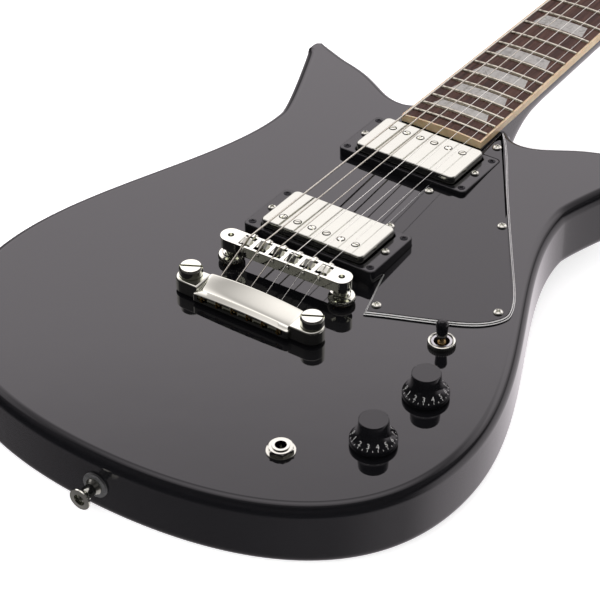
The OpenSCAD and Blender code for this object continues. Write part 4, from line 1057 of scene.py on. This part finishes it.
def knob_piece(name, where, node, joint_body, value, facing):
    ob = add(name + "_turned", *revolved(KNOB, 96), M["knob"], body=joint_body, nodes=[node],
             slot="black_plastic", matrix=at(*where, BODY_T + 0.001))
    smooth_by_angle(ob, 32)
    cut(ob, merged([disc(*where, BODY_T, BODY_T + 0.0065, 0.008, 48),
                    disc(*where, BODY_T, BODY_T + 0.014, 0.00302, 32)]), name + "_bore")
    smooth_by_angle(ob, 32)
    parts = []
    for number in range(11):
        a = math.radians(facing + 27 * (number - value))
        verts, faces = text_mesh(str(number), 0.0027)
        parts.append(([on_slope(v.x, v.y + 0.0018, a) for v in verts], faces))
    for k in range(21):
        a = math.radians(facing + 13.5 * k - 27 * value)
        w, low, high = 0.00013, 0.0002, (0.0014 if k % 2 == 0 else 0.0011)
        parts.append(([on_slope(-w, low, a), on_slope(w, low, a), on_slope(w, high, a),
                       on_slope(-w, high, a)], [(0, 1, 2, 3)]))
    add(name + "_numerals", *merged(parts), M["numeral"], body=joint_body, nodes=[node],
        slot="black_plastic", smooth=False, matrix=at(*where, BODY_T + 0.001))


knob_piece("volume_knob", VOLUME_AT, "volume_knob", "volume", 3.2, -60)
knob_piece("tone_knob", TONE_AT, "tone_knob", "tone", 3.55, -58.3)

# ---------------------------------------------------------------- nodes carried over from the CAD
CARRIED = {
    "fingerboard": ("rosewood", 0), "fingerboard_binding": ("binding", 0.00025), "frets": ("fret", 0),
    "position_markers": ("pearl", 0), "nut": ("bone", 0.0003), "truss_rod": ("steel", 0.0002),
    "truss_rod_cover": ("guard", 0.0003), "pickup_bobbins": ("bobbin", 0.0003),
    "pickup_magnets": ("magnet", 0.0003), "pickup_baseplates": ("silver", 0.0002),
    "pickup_springs": ("spring", 0), "bridge_base": ("nickel", 0.00035), "saddle_screws": ("screw", 0.0002),
    "stud_bushings": ("brass", 0.0002), "volume_shaft": ("brass", 0.0003),
    "tone_shaft": ("brass", 0.0003), "pot_housings": ("steel", 0.0003),
    "selector_housing": ("steel", 0.0003), "selector_lever": ("brass", 0), "selector_tip": ("tip", 0.0002),
    "output_jack": ("nickel", 0.0003), "wiring_harness": ("wire", 0), "control_cover": ("guard", 0.0003),
    "strap_button_end": ("nickel", 0.0004), "strap_felt": ("felt", 0.0003),
    "tuner_housings": ("nickel", 0.0006),
}
for i in range(1, 7):
    CARRIED["saddle_%d" % i] = ("nickel", 0.0003)
    CARRIED["tuner_post_%d" % i] = ("nickel", 0.0003)
    CARRIED["tuner_button_%d" % i] = ("nickel", 0.0002)
for name, (look, width) in CARRIED.items():
    ob = NODES[name]
    ob.data.materials.clear()
    ob.data.materials.append(M[look])
    ob.data.polygons.foreach_set("material_index", [0] * len(ob.data.polygons))
    ob.data.polygons.foreach_set("use_smooth", [True] * len(ob.data.polygons))
    if name in ("fingerboard", "frets", "position_markers", "pickup_springs", "selector_lever",
                "wiring_harness"):
        e = ob.modifiers.new("sharp_edges", "EDGE_SPLIT")
        e.split_angle = math.radians(32)
        continue
    flat = ob.modifiers.new("merge_flats", "DECIMATE")
    flat.decimate_type = "DISSOLVE"
    flat.angle_limit = math.radians(1)
    bevelled(ob, width, 3, 32)

# Strings: the three low ones are wound. Their winding shows as a fine ridge along the string.
strings = NODES["strings"]
WOUND, PLAIN, BALL_END = range(3)
BALLS_BEHIND_Y = -0.0475
strings.data.materials.clear()
for name in ("wound", "plain", "brass"):
    strings.data.materials.append(M[name])
index = []
for f in strings.data.polygons:
    on_treble = PLAIN if f.center.x > 0 else WOUND
    index.append(BALL_END if f.center.y < BALLS_BEHIND_Y else on_treble)
strings.data.polygons.foreach_set("material_index", index)
strings.data.polygons.foreach_set("use_smooth", [True] * len(index))
strings.modifiers.new("sharp_edges", "EDGE_SPLIT").split_angle = math.radians(50)

# ---------------------------------------------------------------- floor, light and exposure
tail_low = Vector((0, -0.176, 0))
head_low = HEAD_TILT @ Vector((0, 0.184, -HEAD_T))
slope = (head_low - tail_low).normalized()
normal = Vector((1, 0, 0)).cross(slope)
floor_me = bpy.data.meshes.new("floor")
floor_me.from_pydata([(-3, -3, 0), (3, -3, 0), (3, 3, 0), (-3, 3, 0)], [], [(0, 1, 2, 3)])
floor = bpy.data.objects.new("floor", floor_me)
floor.matrix_world = (Matrix.Translation(tail_low - normal * 0.0003)
                      @ Matrix((Vector((1, 0, 0)), slope, normal)).transposed().to_4x4())
paper = Shader("floor_white", (0.98, 0.98, 0.98), 0.9)
paper.set("Specular IOR Level", 0.0)
paper.set("Emission Color", (1, 1, 1, 1))
paper.set("Emission Strength", 0.7)
floor.visible_glossy = False
floor_me.materials.append(paper.mat)
bpy.context.scene.collection.objects.link(floor)

world = bpy.data.worlds.new("studio")
bpy.context.scene.world = world
world.use_nodes = True
wt = world.node_tree
wt.nodes.clear()
wout = wt.nodes.new("ShaderNodeOutputWorld")
bg = wt.nodes.new("ShaderNodeBackground")
wt.links.new(bg.outputs[0], wout.inputs[0])
coord = wt.nodes.new("ShaderNodeTexCoord")
bg.inputs["Color"].default_value = (1.0, 0.935, 0.98, 1)


def world_dot(direction):
    d = wt.nodes.new("ShaderNodeVectorMath")
    d.operation = "DOT_PRODUCT"
    d.inputs[1].default_value = Vector(direction).normalized()
    wt.links.new(coord.outputs["Generated"], d.inputs[0])
    return d.outputs["Value"]


def world_curve(fac, stops):
    r = wt.nodes.new("ShaderNodeValToRGB")
    r.color_ramp.interpolation = "EASE"
    while len(r.color_ramp.elements) < len(stops):
        r.color_ramp.elements.new(0.5)
    for e, (p, v) in zip(r.color_ramp.elements, stops):
        e.position = p
        e.color = (v, v, v, 1)
    wt.links.new(fac, r.inputs["Fac"])
    return r.outputs["Color"]


def world_math(op, *values):
    m = wt.nodes.new("ShaderNodeMath")
    m.operation = op
    for k, v in enumerate(values):
        if isinstance(v, (int, float)):
            m.inputs[k].default_value = v
        else:
            wt.links.new(v, m.inputs[k])
    return m.outputs[0]


def world_facing(direction):
    """How far the view faces a direction: 0 away from it, 1 straight at it."""
    return world_math("MULTIPLY_ADD", world_dot(direction), 0.5, 0.5)


# Overhead softbox beyond the guitar, a dark band at the horizon, and a paler ground towards the headstock
high = world_curve(world_dot((0, 0, 1)), [(0.0, 0.02), (0.14, 0.06), (0.36, 0.70), (0.50, 1.0), (0.62, 1.0),
                                          (0.70, 0.70), (0.80, 0.35), (1.0, 1.0)])
key = world_curve(world_dot((-0.44, 0.65, 0.62)), [(0.0, 0.03), (0.42, 0.08), (0.62, 0.55), (0.80, 0.90),
                                                   (0.92, 1.0)])
ahead = world_facing((0.25, 0.97, 0))
ground = world_curve(ahead, [(0.0, 0.05), (0.28, 0.22), (0.60, 0.50), (0.80, 0.95)])
near_dark = world_curve(world_dot((0, 0, -1)), [(0.0, 0.10), (0.30, 0.15), (0.60, 1.0)])
far_bright = world_curve(ahead, [(0.0, 0.0), (0.50, 0.0), (0.85, 1.0)])
reach = world_curve(world_facing((0, 0, 1)), [(0.0, 1.0), (0.50, 1.0), (0.68, 0.0)])
above = world_math("MULTIPLY", world_math("MULTIPLY", high, key), 1.85)
below = world_math("MULTIPLY", world_math("MULTIPLY", reach, ground),
                   world_math("MAXIMUM", near_dark, far_bright))
wt.links.new(world_math("MAXIMUM", above, below), bg.inputs["Strength"])

for name, spot, size, energy in (("soft_key", (-1.3, 1.2, 2.2), 1.8, 22),
                                 ("soft_fill", (0.7, -1.7, 1.5), 1.6, 26)):
    data = bpy.data.lights.new(name, "AREA")
    data.size = size
    data.energy = energy
    lamp = bpy.data.objects.new(name, data)
    lamp.location = spot
    lamp.rotation_euler = (Vector((0, 0.2, 0)) - Vector(spot)).to_track_quat("-Z", "Y").to_euler()
    lamp.visible_glossy = False
    bpy.context.scene.collection.objects.link(lamp)

bpy.context.scene.view_settings.view_transform = "Standard"
